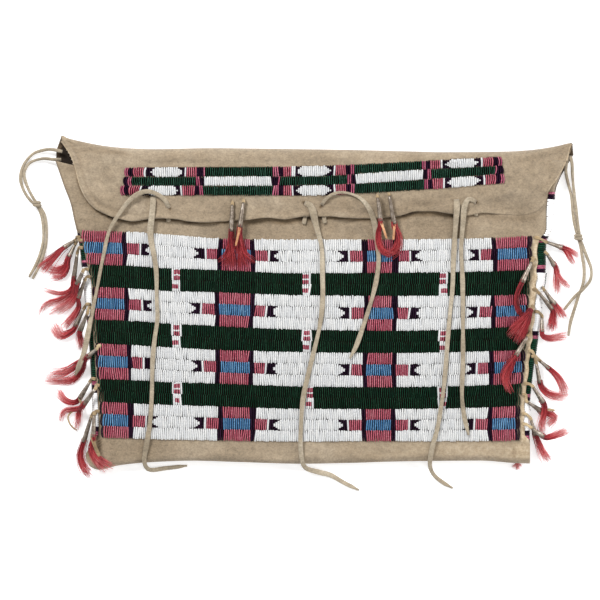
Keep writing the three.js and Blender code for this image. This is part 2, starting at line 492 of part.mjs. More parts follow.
function tassel(t) {
  const [tx, ty, mx, my] = t.c;
  const rest = (x, y, r) => {
    let z = 0;
    for (const [a, b] of [[0, 0], [1, 0], [-1, 0], [0, 1], [0, -1]]) z = Math.max(z, ground(x + (a * r) / U, y + (b * r) / U));
    return z + r + CLEAR + t.z;
  };
  const high = (from, to, r) => Math.max(...[0, 0.25, 0.5, 0.75, 1].map((k) => rest(lerp(tx, mx, lerp(from, to, k)), lerp(ty, my, lerp(from, to, k)), r)));
  const top = new THREE.Vector3(X(tx), Y(ty), high(0, 0.35, CONE_TOP[1]));
  const mouth = new THREE.Vector3(X(mx), Y(my), high(0.65, 1, CONE_MOUTH[1]));
  const middle = high(0.35, 0.65, 2.2) - (top.z + mouth.z) / 2;
  if (middle > 0) for (const p of [top, mouth]) p.z += middle;
  if (t.m) mouth.z = t.m;
  const along = mouth.clone().sub(top).normalize();
  const points = [new THREE.Vector3(X(t.s[0]), Y(t.s[1]), rest(t.s[0], t.s[1], THONG_R))];
  const radii = [THONG_R];
  const put = (p, r) => {
    points.push(p);
    radii.push(r);
  };
  put(top.clone().addScaledVector(along, -2.2), THONG_R);
  put(top.clone().addScaledVector(along, 0.8), THONG_R);
  put(top.clone().lerp(mouth, 0.6), 0.95);
  put(mouth.clone().addScaledVector(along, -1), 1.6);
  put(mouth.clone().addScaledVector(along, 0.6), 1.8);
  const root = mouth.clone().addScaledVector(along, 3);
  root.z = Math.max(root.z, 2.3 + CLEAR);
  put(root, 2.3);
  const widths = [2.9, 3.2, 2.6, 2];
  t.h.forEach(([x, y], i) => {
    const r = i === t.h.length - 1 ? 1.1 : widths[i];
    put(new THREE.Vector3(X(x), Y(y), rest(x, y, r)), r);
  });
  const cone = closed(new THREE.LatheGeometry([[CONE_TOP[0], 0], [CONE_TOP[1], 0], [CONE_MOUTH[1], 1], [CONE_MOUTH[0], 1], [CONE_TOP[0], 0]].map(([r, k]) => new THREE.Vector2(r, k * top.distanceTo(mouth))), 8));
  cone.applyQuaternion(new THREE.Quaternion().setFromUnitVectors(new THREE.Vector3(0, 1, 0), along));
  cone.translate(top.x, top.y, top.z);
  return { points, radii, cone };
}
for (const [name, list] of Object.entries(TASSELS)) {
  const made = list.map(tassel);
  const points = [...made[0].points].reverse();
  const radii = [...made[0].radii].reverse();
  if (made[1]) {
    points.push(...made[1].points);
    radii.push(...made[1].radii);
  }
  add(`tassel_${name}`, strand(points, radii, 6), hair);
  made.forEach((m, i) => add(`tin_cone_${name}${made.length > 1 ? 'ab'[i] : ''}`, m.cone, tin));
}

export default bag;
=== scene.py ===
import math

import bpy
import numpy as np
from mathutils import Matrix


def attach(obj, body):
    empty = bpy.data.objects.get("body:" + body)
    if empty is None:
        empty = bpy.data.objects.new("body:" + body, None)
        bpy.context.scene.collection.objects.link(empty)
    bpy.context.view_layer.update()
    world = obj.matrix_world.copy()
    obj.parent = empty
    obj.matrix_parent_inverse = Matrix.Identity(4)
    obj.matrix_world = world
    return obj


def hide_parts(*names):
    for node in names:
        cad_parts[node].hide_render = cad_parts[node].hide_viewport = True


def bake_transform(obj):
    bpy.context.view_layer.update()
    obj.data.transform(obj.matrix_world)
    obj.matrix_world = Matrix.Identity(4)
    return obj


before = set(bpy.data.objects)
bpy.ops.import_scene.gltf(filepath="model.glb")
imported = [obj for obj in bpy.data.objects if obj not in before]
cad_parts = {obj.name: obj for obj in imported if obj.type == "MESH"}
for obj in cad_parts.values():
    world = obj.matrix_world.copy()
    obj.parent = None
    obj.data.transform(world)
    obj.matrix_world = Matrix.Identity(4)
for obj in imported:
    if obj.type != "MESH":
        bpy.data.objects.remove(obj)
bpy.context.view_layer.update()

# Possibles bag lying on its back. Layout units are 1.07 mm, x to the right and y downwards over the bag.
U = 0.00107
CX, CY = 309.6, 305.5
MM = 0.001


def X(x):
    return (np.asarray(x, float) - CX) * U


def Y(y):
    return (CY - np.asarray(y, float)) * U


def lerp(a, b, t):
    return a + (b - a) * t


def smooth(a, b, v):
    t = np.clip((np.asarray(v, float) - a) / (b - a), 0, 1)
    return t * t * (3 - 2 * t)


class Curve:
    """A smooth line through a table of points that never overshoots them."""

    def __init__(self, table):
        t = np.array(table, float)
        self.k, self.v = t[:, 0], t[:, 1]
        h, d = np.diff(self.k), np.diff(self.v) / np.diff(self.k)
        m = np.zeros(len(self.k))
        m[0], m[-1] = d[0], d[-1]
        for i in range(1, len(m) - 1):
            if d[i - 1] * d[i] > 0:
                a, b = 2 * h[i] + h[i - 1], h[i] + 2 * h[i - 1]
                m[i] = (a + b) / (a / d[i - 1] + b / d[i])
        self.m = m

    def __call__(self, q):
        q = np.clip(np.asarray(q, float), self.k[0], self.k[-1])
        i = np.clip(np.searchsorted(self.k, q, side="right") - 1, 0, len(self.k) - 2)
        h = self.k[i + 1] - self.k[i]
        t = (q - self.k[i]) / h
        return (
            (2 * t**3 - 3 * t**2 + 1) * self.v[i]
            + (t**3 - 2 * t**2 + t) * h * self.m[i]
            + (-2 * t**3 + 3 * t**2) * self.v[i + 1]
            + (t**3 - t**2) * h * self.m[i + 1]
        )


class Ripples:
    """Soft irregular waves of about the given length, in metres, with a height near one."""

    def __init__(self, seed, wave, count=9, along=None, spread=math.pi):
        r = np.random.default_rng(seed)
        a = r.uniform(-spread, spread, count) + (0 if along is None else along)
        k = 2 * math.pi / (wave * r.uniform(0.65, 1.5, count))
        self.kx, self.ky, self.p = k * np.cos(a), k * np.sin(a), r.uniform(0, 2 * math.pi, count)
        self.n = math.sqrt(count / 2)

    def __call__(self, x, y):
        x, y = np.asarray(x, float), np.asarray(y, float)
        s = np.zeros(np.broadcast(x, y).shape)
        for a, b, p in zip(self.kx, self.ky, self.p):
            s += np.sin(a * x + b * y + p)
        return s / self.n


# ---- outlines ----------------------------------------------------------------------------------
TOP = Curve([[59, 137.4], [60.2, 135.9], [61.5, 135.2], [63.5, 135.7], [66, 137.2], [74, 139.6], [82, 141.4], [100, 145], [115, 147], [134, 148.4], [153, 149], [210, 148], [260, 148.5], [300, 149], [360, 150], [400, 151], [446, 152], [503, 151.5], [530, 150], [549, 147.4], [560, 145.2], [571.6, 142.6], [575, 142.4]])
MOUTH = Curve([[54, 160.3], [73, 165], [110, 170], [500, 170], [545, 165], [552, 161]])
BOTTOM = Curve([[84, 459], [86, 463.4], [90, 467.4], [98, 470], [117, 465.8], [142, 463], [191, 461], [240, 462.4], [300, 464], [350, 463.2], [395, 461.8], [440, 461.2], [480, 460.9], [518, 463.5], [530, 463.8]])
FRONT_L = Curve([[160, 55.2], [184.7, 63.6], [205.4, 71.2], [223, 75], [229, 77], [234, 80], [245, 83], [262, 86.6], [286, 91.4], [318, 92.2], [343, 93.8], [378, 96.2], [400, 97.6], [428, 98.8], [436, 98], [442, 93.6], [449, 88.6], [456, 85.4], [463, 87.6]])
FRONT_R = Curve([[160, 552], [192, 548.2], [200, 546.9], [213, 546], [228, 545.9], [233, 544.6], [238, 540], [244, 538], [260, 537.2], [280, 536.4], [300, 535.6], [330, 532.8], [365, 528.6], [390, 526.2], [405, 524.8], [428, 523.8], [435, 524.8], [440, 529], [445, 530], [463, 530]])
BACK_L = Curve([[134, 61.2], [136.2, 60.6], [139, 59.8], [143.4, 58.2], [147, 56.4], [152, 55.8], [159, 55.6], [166, 58.2], [184, 65], [205, 72], [223, 75.6], [231, 76.4], [245, 79], [263, 80.8], [295, 84], [350, 89], [385, 91], [400, 91.8], [415, 92.2], [432, 93], [440, 92.4], [447, 88.6], [456, 85.2], [463, 88], [470, 97]])
BACK_R = Curve([[142, 572.6], [150, 573.6], [159, 574], [163, 569.6], [168, 565], [176, 561.4], [191, 556], [228, 554.6], [236, 549.4], [244, 546.8], [272, 546.2], [300, 542.8], [345, 538.2], [370, 534.2], [390, 532], [405, 530.8], [430, 530.6], [463, 530.2]])
FLAP_LOW = Curve([[61.0, 140.6], [62.2, 143.2], [64.4, 146.8], [67.1, 150.4], [70.4, 156], [72.6, 161], [74.3, 166], [75.9, 172], [77.6, 179], [80, 187], [83.8, 195], [88, 201.5], [94, 208], [106, 214.5], [117, 218.4], [134, 221.5], [148, 219.6], [163, 218.7], [177, 219.6], [191, 222], [206, 222.7], [220, 221.9], [244, 220.6], [268, 218], [284, 219.6], [306, 216.7], [330, 216.7], [345, 218.1], [360, 218.7], [379, 218.4], [398, 216.3], [417, 211.5], [432, 211.5], [446, 213.4], [465, 215.8], [484, 213], [503, 214.5], [520, 215.4], [533, 213], [541, 208], [545, 202], [548, 192.4], [557.9, 177.3], [566.6, 160.7], [569.5, 152], [571.8, 143.6]])
PANEL_L = Curve([[230, 81], [262, 88], [286, 93], [318, 93.6], [343, 95.4], [378.5, 97.9], [400.5, 100], [438, 102.2]])
PANEL_R = Curve([[236, 531.5], [255, 531], [300, 528], [330, 526], [350, 525], [365, 523.8], [384, 521.8], [405, 519.4], [441, 519.2]])
BAND_X = [85, 132, 172, 217, 300, 396, 491, 527]
BANDS = [Curve(list(zip(BAND_X, v))) for v in (
    [230.5, 232, 235, 238.5, 239.7, 239.5, 238, 236],
    [264, 266, 268.4, 270, 273.2, 272.8, 271.2, 270],
    [286.5, 288.5, 291.3, 292.4, 295.3, 296, 295.7, 294.5],
    [319, 321, 323.5, 326, 329.4, 330.7, 327.8, 326],
    [343, 345, 347.5, 349.8, 352, 353, 351.2, 349.8],
    [378.5, 380, 382, 383.3, 386.3, 387, 384.8, 383.3],
    [400.5, 403.4, 405, 406.3, 408.8, 409, 407.2, 405.3],
    [437, 438.4, 439.5, 440.3, 441.3, 441, 441, 439.8],
)]
FLAP_LANES = [Curve(t) for t in (
    [[121, 168], [300, 166.5], [421, 161.3], [504, 156.6]],
    [[121, 177], [300, 176.6], [421, 169.9], [504, 165.6]],
    [[121, 186], [300, 185.7], [421, 179.8], [504, 173.9]],
    [[121, 195.5], [300, 195.7], [421, 190], [504, 183.3]],
)]
HIDE = 2.0 * MM

# ---- surfaces ----------------------------------------------------------------------------------
front_long, front_mid, front_fine = Ripples(3, 0.085), Ripples(4, 0.032), Ripples(5, 0.012)
flap_long, flap_mid, flap_fine = Ripples(13, 0.1), Ripples(14, 0.036), Ripples(15, 0.013)
edge_wave = Ripples(21, 0.06, along=0, spread=0.01)


def front_edge(y):
    """The front's right edge, scalloped where laces draw the seam in."""
    y = np.asarray(y, float)
    return FRONT_R(y) + 0.75 * np.sin(y / 3.1 + 1.4 * np.sin(y / 11)) * smooth(236, 246, y) * smooth(440, 432, y)


def back_edge(y):
    """The back's right edge, drawn in under the beaded gusset."""
    y = np.asarray(y, float)
    return BACK_R(y) - 1.4 * smooth(192, 200, y) * smooth(440, 430, y)


def front_z(x, y):
    """Height of the front hide's outer face."""
    l, r = FRONT_L(y), front_edge(y)
    u = np.clip((x - l) / (r - l), 0, 1)
    low = BOTTOM(x) - 0.007 / U
    v = np.clip((low - y) / (low - MOUTH(x)), 0, 1)
    across = 1 - np.abs(2 * u - 1) ** 2.5
    along = smooth(0, 0.45, v) * (1 - 0.8 * smooth(0.5, 1, v))
    flat = np.minimum(smooth(0, 0.04, u) * smooth(1, 0.96, u), 1)
    bare = 1 - 0.65 * (smooth(225, 236, y) * smooth(446, 438, y))
    relief = flat * bare * (0.55 * front_long(X(x), Y(y)) + 0.34 * front_mid(X(x), Y(y)) + 0.16 * front_fine(X(x), Y(y)))
    out = x - PANEL_R(y)
    seam = smooth(1.4, 3.4, out) * smooth(232, 240, y) * smooth(442, 436, y)
    lumps = seam * (0.9 + 0.55 * np.sin(y / 2.1 + 1.3 * np.sin(y / 6.3)) + 0.4 * np.sin(y / 4.7))
    return (14 + 11 * across * along + relief + lumps) * MM


PANEL_BED, LANE_BED = 1.1 * MM, 0.7 * MM


def on_panel(x, y, inside):
    return (x > PANEL_L(y) + inside) & (x < PANEL_R(y) - inside) & (y > BANDS[0](x) + inside) & (y < BANDS[7](x) - inside)


def fold_r(x):
    """Radius of the top fold: round along the middle, pressed to a point at both corners."""
    return (3.2 + 7.1 * smooth(62, 122, x) * smooth(573, 520, x)) * MM


def flap_gap(x):
    return (0.3 + 0.7 * smooth(66, 90, x) * smooth(530, 455, x)) * MM


EDGE_X = np.concatenate([np.linspace(61.2, 66, 24), np.linspace(66.2, 95, 110), np.linspace(95.5, 538, 220), np.linspace(538.4, 571.8, 150)])
EDGE_Y = FLAP_LOW(EDGE_X)


def to_edge(x, y):
    """Distance from the flap's cut edge, in layout units."""
    x, y = np.broadcast_arrays(np.asarray(x, float), np.asarray(y, float))
    best = np.full(x.shape, 1e9)
    for a, b in zip(EDGE_X, EDGE_Y):
        np.minimum(best, (x - a) ** 2 + (y - b) ** 2, out=best)
    return np.sqrt(best)


def flap_z(x, y):
    """Height of the flap's outer face beyond the fold's top line."""
    r = fold_r(x)
    away = Y(TOP(x)) - r - Y(y)
    edge = to_edge(x, y)
    lift = (0.3 + 0.6 * edge_wave(X(x), 0 * x)) * smooth(22, 0, edge) * smooth(78, 112, x) * smooth(540, 470, x)
    strong = 0.55 + 0.45 * smooth(150, 90, x) + 0.25 * smooth(530, 560, x)
    rim = strong * (1.7 * np.exp(-(((edge - 2.2) / 2.0) ** 2)) - 0.8 * np.exp(-(((edge - 7.0) / 2.6) ** 2)))
    crease = -2.1 * np.exp(-(((y - (139.5 + 0.27 * (x - 70))) / 3.4) ** 2)) * smooth(68, 82, x) * smooth(165, 120, x)
    crease = crease - 0.9 * np.exp(-(((y - (159 - 0.14 * (x - 490))) / 4.0) ** 2)) * smooth(480, 520, x) * smooth(572, 555, x)
    crease = crease - 0.9 * np.exp(-(((y - (200 + 0.05 * (x - 230) + 2.5 * np.sin(x / 23))) / 4.2) ** 2)) * smooth(150, 200, x) * smooth(330, 280, x)
    wrinkle = 1.5 * np.exp(-(((y - 204) / 10) ** 2)) * smooth(396, 450, x) * smooth(546, 525, x) * np.sin((x - 400) / 9.5 + (y - 200) / 3.8)
    wrinkle = wrinkle + 0.7 * np.exp(-(((y - 207) / 9) ** 2)) * smooth(90, 115, x) * smooth(190, 165, x) * np.sin((x - 90) / 8.5 - (y - 200) / 4.2)
    plain = 1 - 0.5 * smooth(162, 168, y) * smooth(200, 194, y) * smooth(118, 126, x) * smooth(507, 500, x)
    soft = plain * (1.0 * flap_long(X(x), Y(y)) + 0.6 * flap_mid(X(x), Y(y)) + 0.22 * flap_fine(X(x), Y(y)))
    fade = smooth(490, 526, x) * smooth(553, 545, x) * smooth(190, 201, y)
    rim = rim * (1 - fade)
    lift = lift * (1 - fade)
    sink = -2.0 * smooth(488, 522, x) * smooth(549, 543, x) * smooth(10, 1, edge) * smooth(195, 203, y)
    over = front_z(x, np.maximum(y, MOUTH(x))) + flap_gap(x) + 2.2 * MM
    rest = lerp(2 * r, np.maximum(over, 2 * r), smooth(0, 0.028, away))
    free = rest + (lift + rim + sink + (crease + wrinkle + soft) * smooth(0, 0.006, away)) * MM
    free = np.where(y > MOUTH(x), np.maximum(free, over - flap_gap(x) - 1.9 * MM * smooth(488, 522, x) * smooth(549, 543, x)), free)
    flush = smooth(26, 0.5, edge) * smooth(474, 508, x) * smooth(551, 546, x) * smooth(190, 199, y)
    return lerp(free, front_z(x, np.maximum(y, MOUTH(x))) + 0.25 * MM, flush)


def in_flap(x, y, more=0.8):
    return (x > 61.8) & (x < 571.8) & (y > TOP(x)) & (y < FLAP_LOW(x) + more)


def in_lanes(x, y):
    return (x > 120.5) & (x < 505) & (y > FLAP_LANES[0](x) - 0.8) & (y < FLAP_LANES[3](x) + 0.8)


def in_panel(x, y):
    return (x > PANEL_L(y) - 0.8) & (x < PANEL_R(y) + 0.8) & (y > BANDS[0](x) - 0.8) & (y < BANDS[7](x) + 0.8)


BEAD_TOP, LANE_TOP = 2.2 * MM, 2.1 * MM


def gusset_z(k):
    """Height of a gusset's outer face: k is 0 at the front seam and 1 at the back seam."""
    return lerp(12.8, 2.6, np.asarray(k, float) ** 4.5) * MM


def ground(x, y):
    """Highest hide or bead surface over a layout point, the floor where there is none."""
    x, y = np.broadcast_arrays(np.asarray(x, float), np.asarray(y, float))
    z = np.zeros(x.shape)
    l, r, bl, br = FRONT_L(y), front_edge(y), BACK_L(y), BACK_R(y)
    bottom = BOTTOM(x)
    tall = (y > 134) & (y < bottom)
    front = tall & (x >= l) & (x <= r) & (y > MOUTH(x))
    rise = (bottom - y) * U
    turn = 0.007 + np.sqrt(np.maximum(0.007**2 - (0.007 - np.clip(rise, 0, 0.007)) ** 2, 0))
    z = np.where(front, np.where(rise < 0.007, turn, front_z(x, y) + np.where(in_panel(x, y), BEAD_TOP, 0)), z)

    def slope(out, wide):
        return gusset_z(np.clip(out / np.maximum(1, wide), 0, 1)) + 2.2 * MM

    z = np.where(tall & (x < l) & (x > bl - 2), slope(l - x, l - bl), z)
    z = np.where(tall & (x > r) & (x < br + 2), slope(x - r, br - r), z)
    return np.where(in_flap(x, y), flap_z(x, y) + np.where(in_lanes(x, y), LANE_TOP, 0), z)


# ---- meshes ------------------------------------------------------------------------------------
def build(name, points, quads=None, tris=None, slots=None, index=None, values=None, uv=None, flat=False):
    """A mesh object from arrays, with one material index for each face and float values for each point."""
    me = bpy.data.meshes.new(name)
    quads = np.zeros((0, 4), int) if quads is None else np.asarray(quads, int).reshape(-1, 4)
    tris = np.zeros((0, 3), int) if tris is None else np.asarray(tris, int).reshape(-1, 3)
    me.vertices.add(len(points))
    me.vertices.foreach_set("co", np.asarray(points, np.float32).ravel())
    corners = np.concatenate([quads.ravel(), tris.ravel()]).astype(np.int32)
    me.loops.add(len(corners))
    me.loops.foreach_set("vertex_index", corners)
    n = len(quads) + len(tris)
    me.polygons.add(n)
    starts = np.concatenate([np.arange(len(quads)) * 4, len(quads) * 4 + np.arange(len(tris)) * 3]).astype(np.int32)
    me.polygons.foreach_set("loop_start", starts)
    me.polygons.foreach_set("use_smooth", np.full(n, not flat))
    if index is not None:
        me.polygons.foreach_set("material_index", np.asarray(index, np.int32))
    for key, v in (values or {}).items():
        a = me.attributes.new(key, "FLOAT", "POINT")
        a.data.foreach_set("value", np.asarray(v, np.float32))
    if uv is not None:
        layer = me.uv_layers.new(name="OFBake")
        layer.data.foreach_set("uv", np.asarray(uv, np.float32)[corners].ravel())
    me.update(calc_edges=True)
    me.validate()
    o = bpy.data.objects.new(name, me)
    for m in slots or []:
        me.materials.append(m)
    bpy.context.scene.collection.objects.link(o)
    return o


def normals_of(grid):
    du = np.gradient(grid, axis=1)
    dv = np.gradient(grid, axis=0)
    n = np.cross(du, dv)
    return n / np.maximum(np.linalg.norm(n, axis=2, keepdims=True), 1e-12)


def sheet_mesh(name, grid, thick, slots, values=None, floor=None, plain=None):
    """A closed sheet: the grid is its outer face, the inner face lies "thick" behind it or behind a plainer grid."""
    rows, cols = grid.shape[:2]
    plain = grid if plain is None else plain
    inner = plain - normals_of(plain) * thick
    if floor is not None:
        inner[:, :, 2] = np.maximum(inner[:, :, 2], floor)
    points = np.concatenate([grid.reshape(-1, 3), inner.reshape(-1, 3)])
    k = np.arange(rows * cols).reshape(rows, cols)
    a = np.stack([k[:-1, :-1], k[:-1, 1:], k[1:, 1:], k[1:, :-1]], -1).reshape(-1, 4)
    b = a[:, ::-1] + rows * cols
    ring = np.concatenate([k[0, :-1], k[:-1, -1], k[-1, :0:-1], k[:0:-1, 0]])
    nxt = np.roll(ring, -1)
    side = np.stack([nxt, ring, ring + rows * cols, nxt + rows * cols], -1)
    u = np.tile(np.linspace(0.005, 0.495, cols), rows)
    v = np.repeat(np.linspace(0.005, 0.995, rows), cols)
    uv = np.concatenate([np.stack([u, v], -1), np.stack([1 - u, v], -1)])
    both = {key: np.concatenate([x.ravel(), y.ravel()]) for key, (x, y) in (values or {}).items()}
    return build(name, points, np.concatenate([a, b, side]), slots=slots, values=both, uv=uv)


def frames_of(p):
    """Tangent, sideways and upward directions along a line of points."""
    t = np.gradient(p, axis=0)
    t /= np.maximum(np.linalg.norm(t, axis=1, keepdims=True), 1e-12)
    side = np.cross(t, [0, 0, 1.0])
    low = np.linalg.norm(side, axis=1) < 0.15
    if low.any():
        good = np.where(~low)[0]
        for i in np.where(low)[0]:
            side[i] = side[good[np.argmin(np.abs(good - i))]] if len(good) else [1, 0, 0]
    side /= np.maximum(np.linalg.norm(side, axis=1, keepdims=True), 1e-12)
    up = np.cross(side, t)
    return t, side, up / np.maximum(np.linalg.norm(up, axis=1, keepdims=True), 1e-12)


def swept(p, section, scale=None, roll=None):
    """Points, quads and end triangles of a section (sideways, up) carried along a line, scaled and rolled on the way."""
    p, section = np.asarray(p, float), np.asarray(section, float)
    n, m = len(p), len(section)
    t, side, up = frames_of(p)
    s = np.ones((n, 2)) if scale is None else np.asarray(scale, float).reshape(n, -1) * np.ones((n, 2))
    if roll is not None:
        c, k = np.cos(roll)[:, None], np.sin(roll)[:, None]
        side, up = side * c + up * k, up * c - side * k
    points = p[:, None] + side[:, None] * (section[None, :, 0:1] * s[:, None, 0:1]) + up[:, None] * (section[None, :, 1:2] * s[:, None, 1:2])
    k = np.arange(n * m).reshape(n, m)
    quads = np.stack([k[:-1], np.roll(k[:-1], -1, 1), np.roll(k[1:], -1, 1), k[1:]], -1).reshape(-1, 4)
    fan = np.array([[0, i, i + 1] for i in range(1, m - 1)])
    tris = np.concatenate([k[0][fan][:, ::-1], k[-1][fan]])
    return points.reshape(-1, 3), quads, tris


class Parts:
    """Several closed meshes gathered into one piece."""

    def __init__(self):
        self.p, self.q, self.t, self.iq, self.it, self.n, self.v = [], [], [], [], [], 0, {}

    def add(self, points, quads, tris=None, slot=0, **values):
        quads = np.zeros((0, 4), int) if quads is None else np.asarray(quads, int)
        tris = np.zeros((0, 3), int) if tris is None else np.asarray(tris, int)
        self.p.append(np.asarray(points, float))
        self.q.append(quads + self.n)
        self.t.append(tris + self.n)
        self.iq.append(np.broadcast_to(np.asarray(slot), (len(quads),)) if np.ndim(slot) == 0 else np.asarray(slot))
        self.it.append(np.full(len(tris), slot if np.ndim(slot) == 0 else 0))
        for key, v in values.items():
            self.v.setdefault(key, []).append(np.broadcast_to(np.asarray(v, float), (len(points),)))
        self.n += len(points)

    def piece(self, name, slots):
        values = {k: np.concatenate(v) for k, v in self.v.items()}
        return build(name, np.concatenate(self.p), np.concatenate(self.q), np.concatenate(self.t), slots, np.concatenate([*self.iq, *self.it]), values)


def spline(table, step):
    """Points every "step" along a smooth line through the given points (any dimension)."""
    p = np.asarray(table, float)
    a = np.vstack([2 * p[0] - p[1], p, 2 * p[-1] - p[-2]])
    out = []
    for i in range(1, len(a) - 2):
        p0, p1, p2, p3 = a[i - 1 : i + 3]
        k = [0.0]
        for u, v in ((p0, p1), (p1, p2), (p2, p3)):
            k.append(k[-1] + max(np.linalg.norm(v - u), 1e-9) ** 0.5)
        t = np.linspace(k[1], k[2], 24, endpoint=False)[:, None]
        a1 = (k[1] - t) / (k[1] - k[0]) * p0 + (t - k[0]) / (k[1] - k[0]) * p1
        a2 = (k[2] - t) / (k[2] - k[1]) * p1 + (t - k[1]) / (k[2] - k[1]) * p2
        a3 = (k[3] - t) / (k[3] - k[2]) * p2 + (t - k[2]) / (k[3] - k[2]) * p3
        b1 = (k[2] - t) / (k[2] - k[0]) * a1 + (t - k[0]) / (k[2] - k[0]) * a2
        b2 = (k[3] - t) / (k[3] - k[1]) * a2 + (t - k[1]) / (k[3] - k[1]) * a3
        out.append((k[2] - t) / (k[2] - k[1]) * b1 + (t - k[1]) / (k[2] - k[1]) * b2)
    line = np.vstack([*out, p[-1:]])
    d = np.concatenate([[0], np.cumsum(np.linalg.norm(np.diff(line, axis=0), axis=1))])
    n = max(2, int(round(d[-1] / step)) + 1)
    s = np.linspace(0, d[-1], n)
    return np.stack([np.interp(s, d, line[:, i]) for i in range(line.shape[1])], -1)


# ---- materials ---------------------------------------------------------------------------------
def srgb(r, g, b):
    return tuple(((c / 255 + 0.055) / 1.055) ** 2.4 if c > 10 else c / 255 / 12.92 for c in (r, g, b)) + (1.0,)


def new_material(name, rough, colour=(0.5, 0.5, 0.5, 1), metal=0.0, spec=0.5):
    m = bpy.data.materials.new(name)
    m.use_nodes = True
    p = m.node_tree.nodes["Principled BSDF"]
    p.inputs["Base Color"].default_value = colour
    p.inputs["Roughness"].default_value = rough
    p.inputs["Metallic"].default_value = metal
    p.inputs["Specular IOR Level"].default_value = spec
    return m, m.node_tree, p


def node(nt, kind, **inputs):
    n = nt.nodes.new(kind)
    for k, v in inputs.items():
        n.inputs[k.replace("_", " ")].default_value = v
    return n


def noise(nt, coords, scale, detail=3.0, rough=0.55, stretch=None):
    n = node(nt, "ShaderNodeTexNoise", Scale=scale, Detail=detail, Roughness=rough)
    source = coords
    if stretch:
        mp = nt.nodes.new("ShaderNodeMapping")
        mp.inputs["Scale"].default_value = stretch
        nt.links.new(coords, mp.inputs["Vector"])
        source = mp.outputs["Vector"]
    nt.links.new(source, n.inputs["Vector"])
    return n.outputs["Fac"]


def ramp(nt, fac, stops):
    n = nt.nodes.new("ShaderNodeValToRGB")
    e = n.color_ramp.elements
    while len(e) < len(stops):
        e.new(0.5)
    for i, (at, colour) in enumerate(stops):
        e[i].position, e[i].color = at, colour
    nt.links.new(fac, n.inputs["Fac"])
    return n.outputs["Color"]


def mix(nt, kind, fac, a, b):
    n = nt.nodes.new("ShaderNodeMix")
    n.data_type, n.blend_type = "RGBA", kind
    for socket, v in ((n.inputs[0], fac), (n.inputs[6], a), (n.inputs[7], b)):
        if hasattr(v, "is_output"):
            nt.links.new(v, socket)
        else:
            socket.default_value = v
    return n.outputs[2]


def grey(v):
    return (v, v, v, 1.0)


def value_of(nt, name):
    n = nt.nodes.new("ShaderNodeAttribute")
    n.attribute_name = name
    return n.outputs["Fac"]


def bump(nt, p, height, strength, distance):
    n = node(nt, "ShaderNodeBump", Strength=strength, Distance=distance)
    nt.links.new(height, n.inputs["Height"])
    nt.links.new(n.outputs["Normal"], p.inputs["Normal"])


def hide_material(name, dark, mid, light, shaded=True):
    """Brain-tanned hide: mottled suede with a fine nap; the shade value darkens the colour, mostly as painted shade at
    seams, in creases, under the flap's edge, inside the mouth and between bead rows, and warm mixes in a paler hide
    colour.
    """
    m, nt, p = new_material(name, 0.93, spec=0.12)
    xyz = nt.nodes.new("ShaderNodeTexCoord").outputs["Object"]
    colour = ramp(nt, noise(nt, xyz, 22, 5, 0.62), [(0.28, dark), (0.5, mid), (0.74, light)])
    colour = mix(nt, "MULTIPLY", 0.4, colour, ramp(nt, noise(nt, xyz, 75, 4, 0.6, (0.55, 1.5, 1)), [(0.28, grey(0.62)), (0.5, grey(1.0)), (0.75, grey(1.22))]))
    colour = mix(nt, "MULTIPLY", 0.5, colour, ramp(nt, noise(nt, xyz, 190, 6, 0.74), [(0.3, grey(0.55)), (0.52, grey(1.0)), (0.74, grey(1.25))]))
    colour = mix(nt, "MULTIPLY", 0.6, colour, ramp(nt, noise(nt, xyz, 430, 5, 0.82, (1, 1.3, 1)), [(0.3, grey(0.42)), (0.5, grey(1.0)), (0.7, grey(1.45))]))
    if shaded:
        colour = mix(nt, "MIX", value_of(nt, "warm"), colour, ramp(nt, noise(nt, xyz, 240, 4, 0.7), [(0.3, srgb(158, 134, 104)), (0.52, srgb(203, 182, 151)), (0.72, srgb(228, 213, 188))]))
        # painted shade: the shade value darkens the hide colour where shade falls
        colour = mix(nt, "MULTIPLY", 1.0, colour, ramp(nt, value_of(nt, "shade"), [(0.0, (0.015, 0.012, 0.01, 1)), (0.3, (0.12, 0.085, 0.055, 1)), (0.6, (0.5, 0.45, 0.38, 1)), (1.0, grey(1.0))]))
    nt.links.new(colour, p.inputs["Base Color"])
    p.inputs["Sheen Weight"].default_value = 0.25
    p.inputs["Sheen Roughness"].default_value = 0.6
    r = nt.nodes.new("ShaderNodeMapRange")
    r.inputs["To Min"].default_value, r.inputs["To Max"].default_value = 0.99, 0.84
    nt.links.new(noise(nt, xyz, 60, 4, 0.6), r.inputs["Value"])
    nt.links.new(r.outputs["Result"], p.inputs["Roughness"])
    bump(nt, p, noise(nt, xyz, 620, 5, 0.75), 0.5, 0.0011)
    return m


hide_m = hide_material("hide", srgb(146, 129, 106), srgb(160, 143, 120), srgb(172, 156, 134))
thong_m = hide_material("thong_hide", srgb(144, 130, 109), srgb(168, 154, 132), srgb(194, 182, 161), False)
lace_m = hide_material("lace_hide", srgb(120, 98, 70), srgb(172, 148, 112), srgb(210, 188, 150), False)
tip_m = hide_material("lace_tip_hide", srgb(180, 122, 84), srgb(212, 158, 116), srgb(232, 188, 146), False)


def bed_material():
    """Hide under the beads, painted near black as the shade in the gaps between bead rows, with no sheen."""
    m, nt, p = new_material("hide_under_beads", 0.95, spec=0.0)
    xyz = nt.nodes.new("ShaderNodeTexCoord").outputs["Object"]
    nt.links.new(ramp(nt, noise(nt, xyz, 190, 4, 0.7), [(0.3, srgb(12, 9, 8)), (0.7, srgb(30, 24, 19))]), p.inputs["Base Color"])
    bump(nt, p, noise(nt, xyz, 620, 4, 0.7), 0.4, 0.0006)
    return m


bed_m = bed_material()


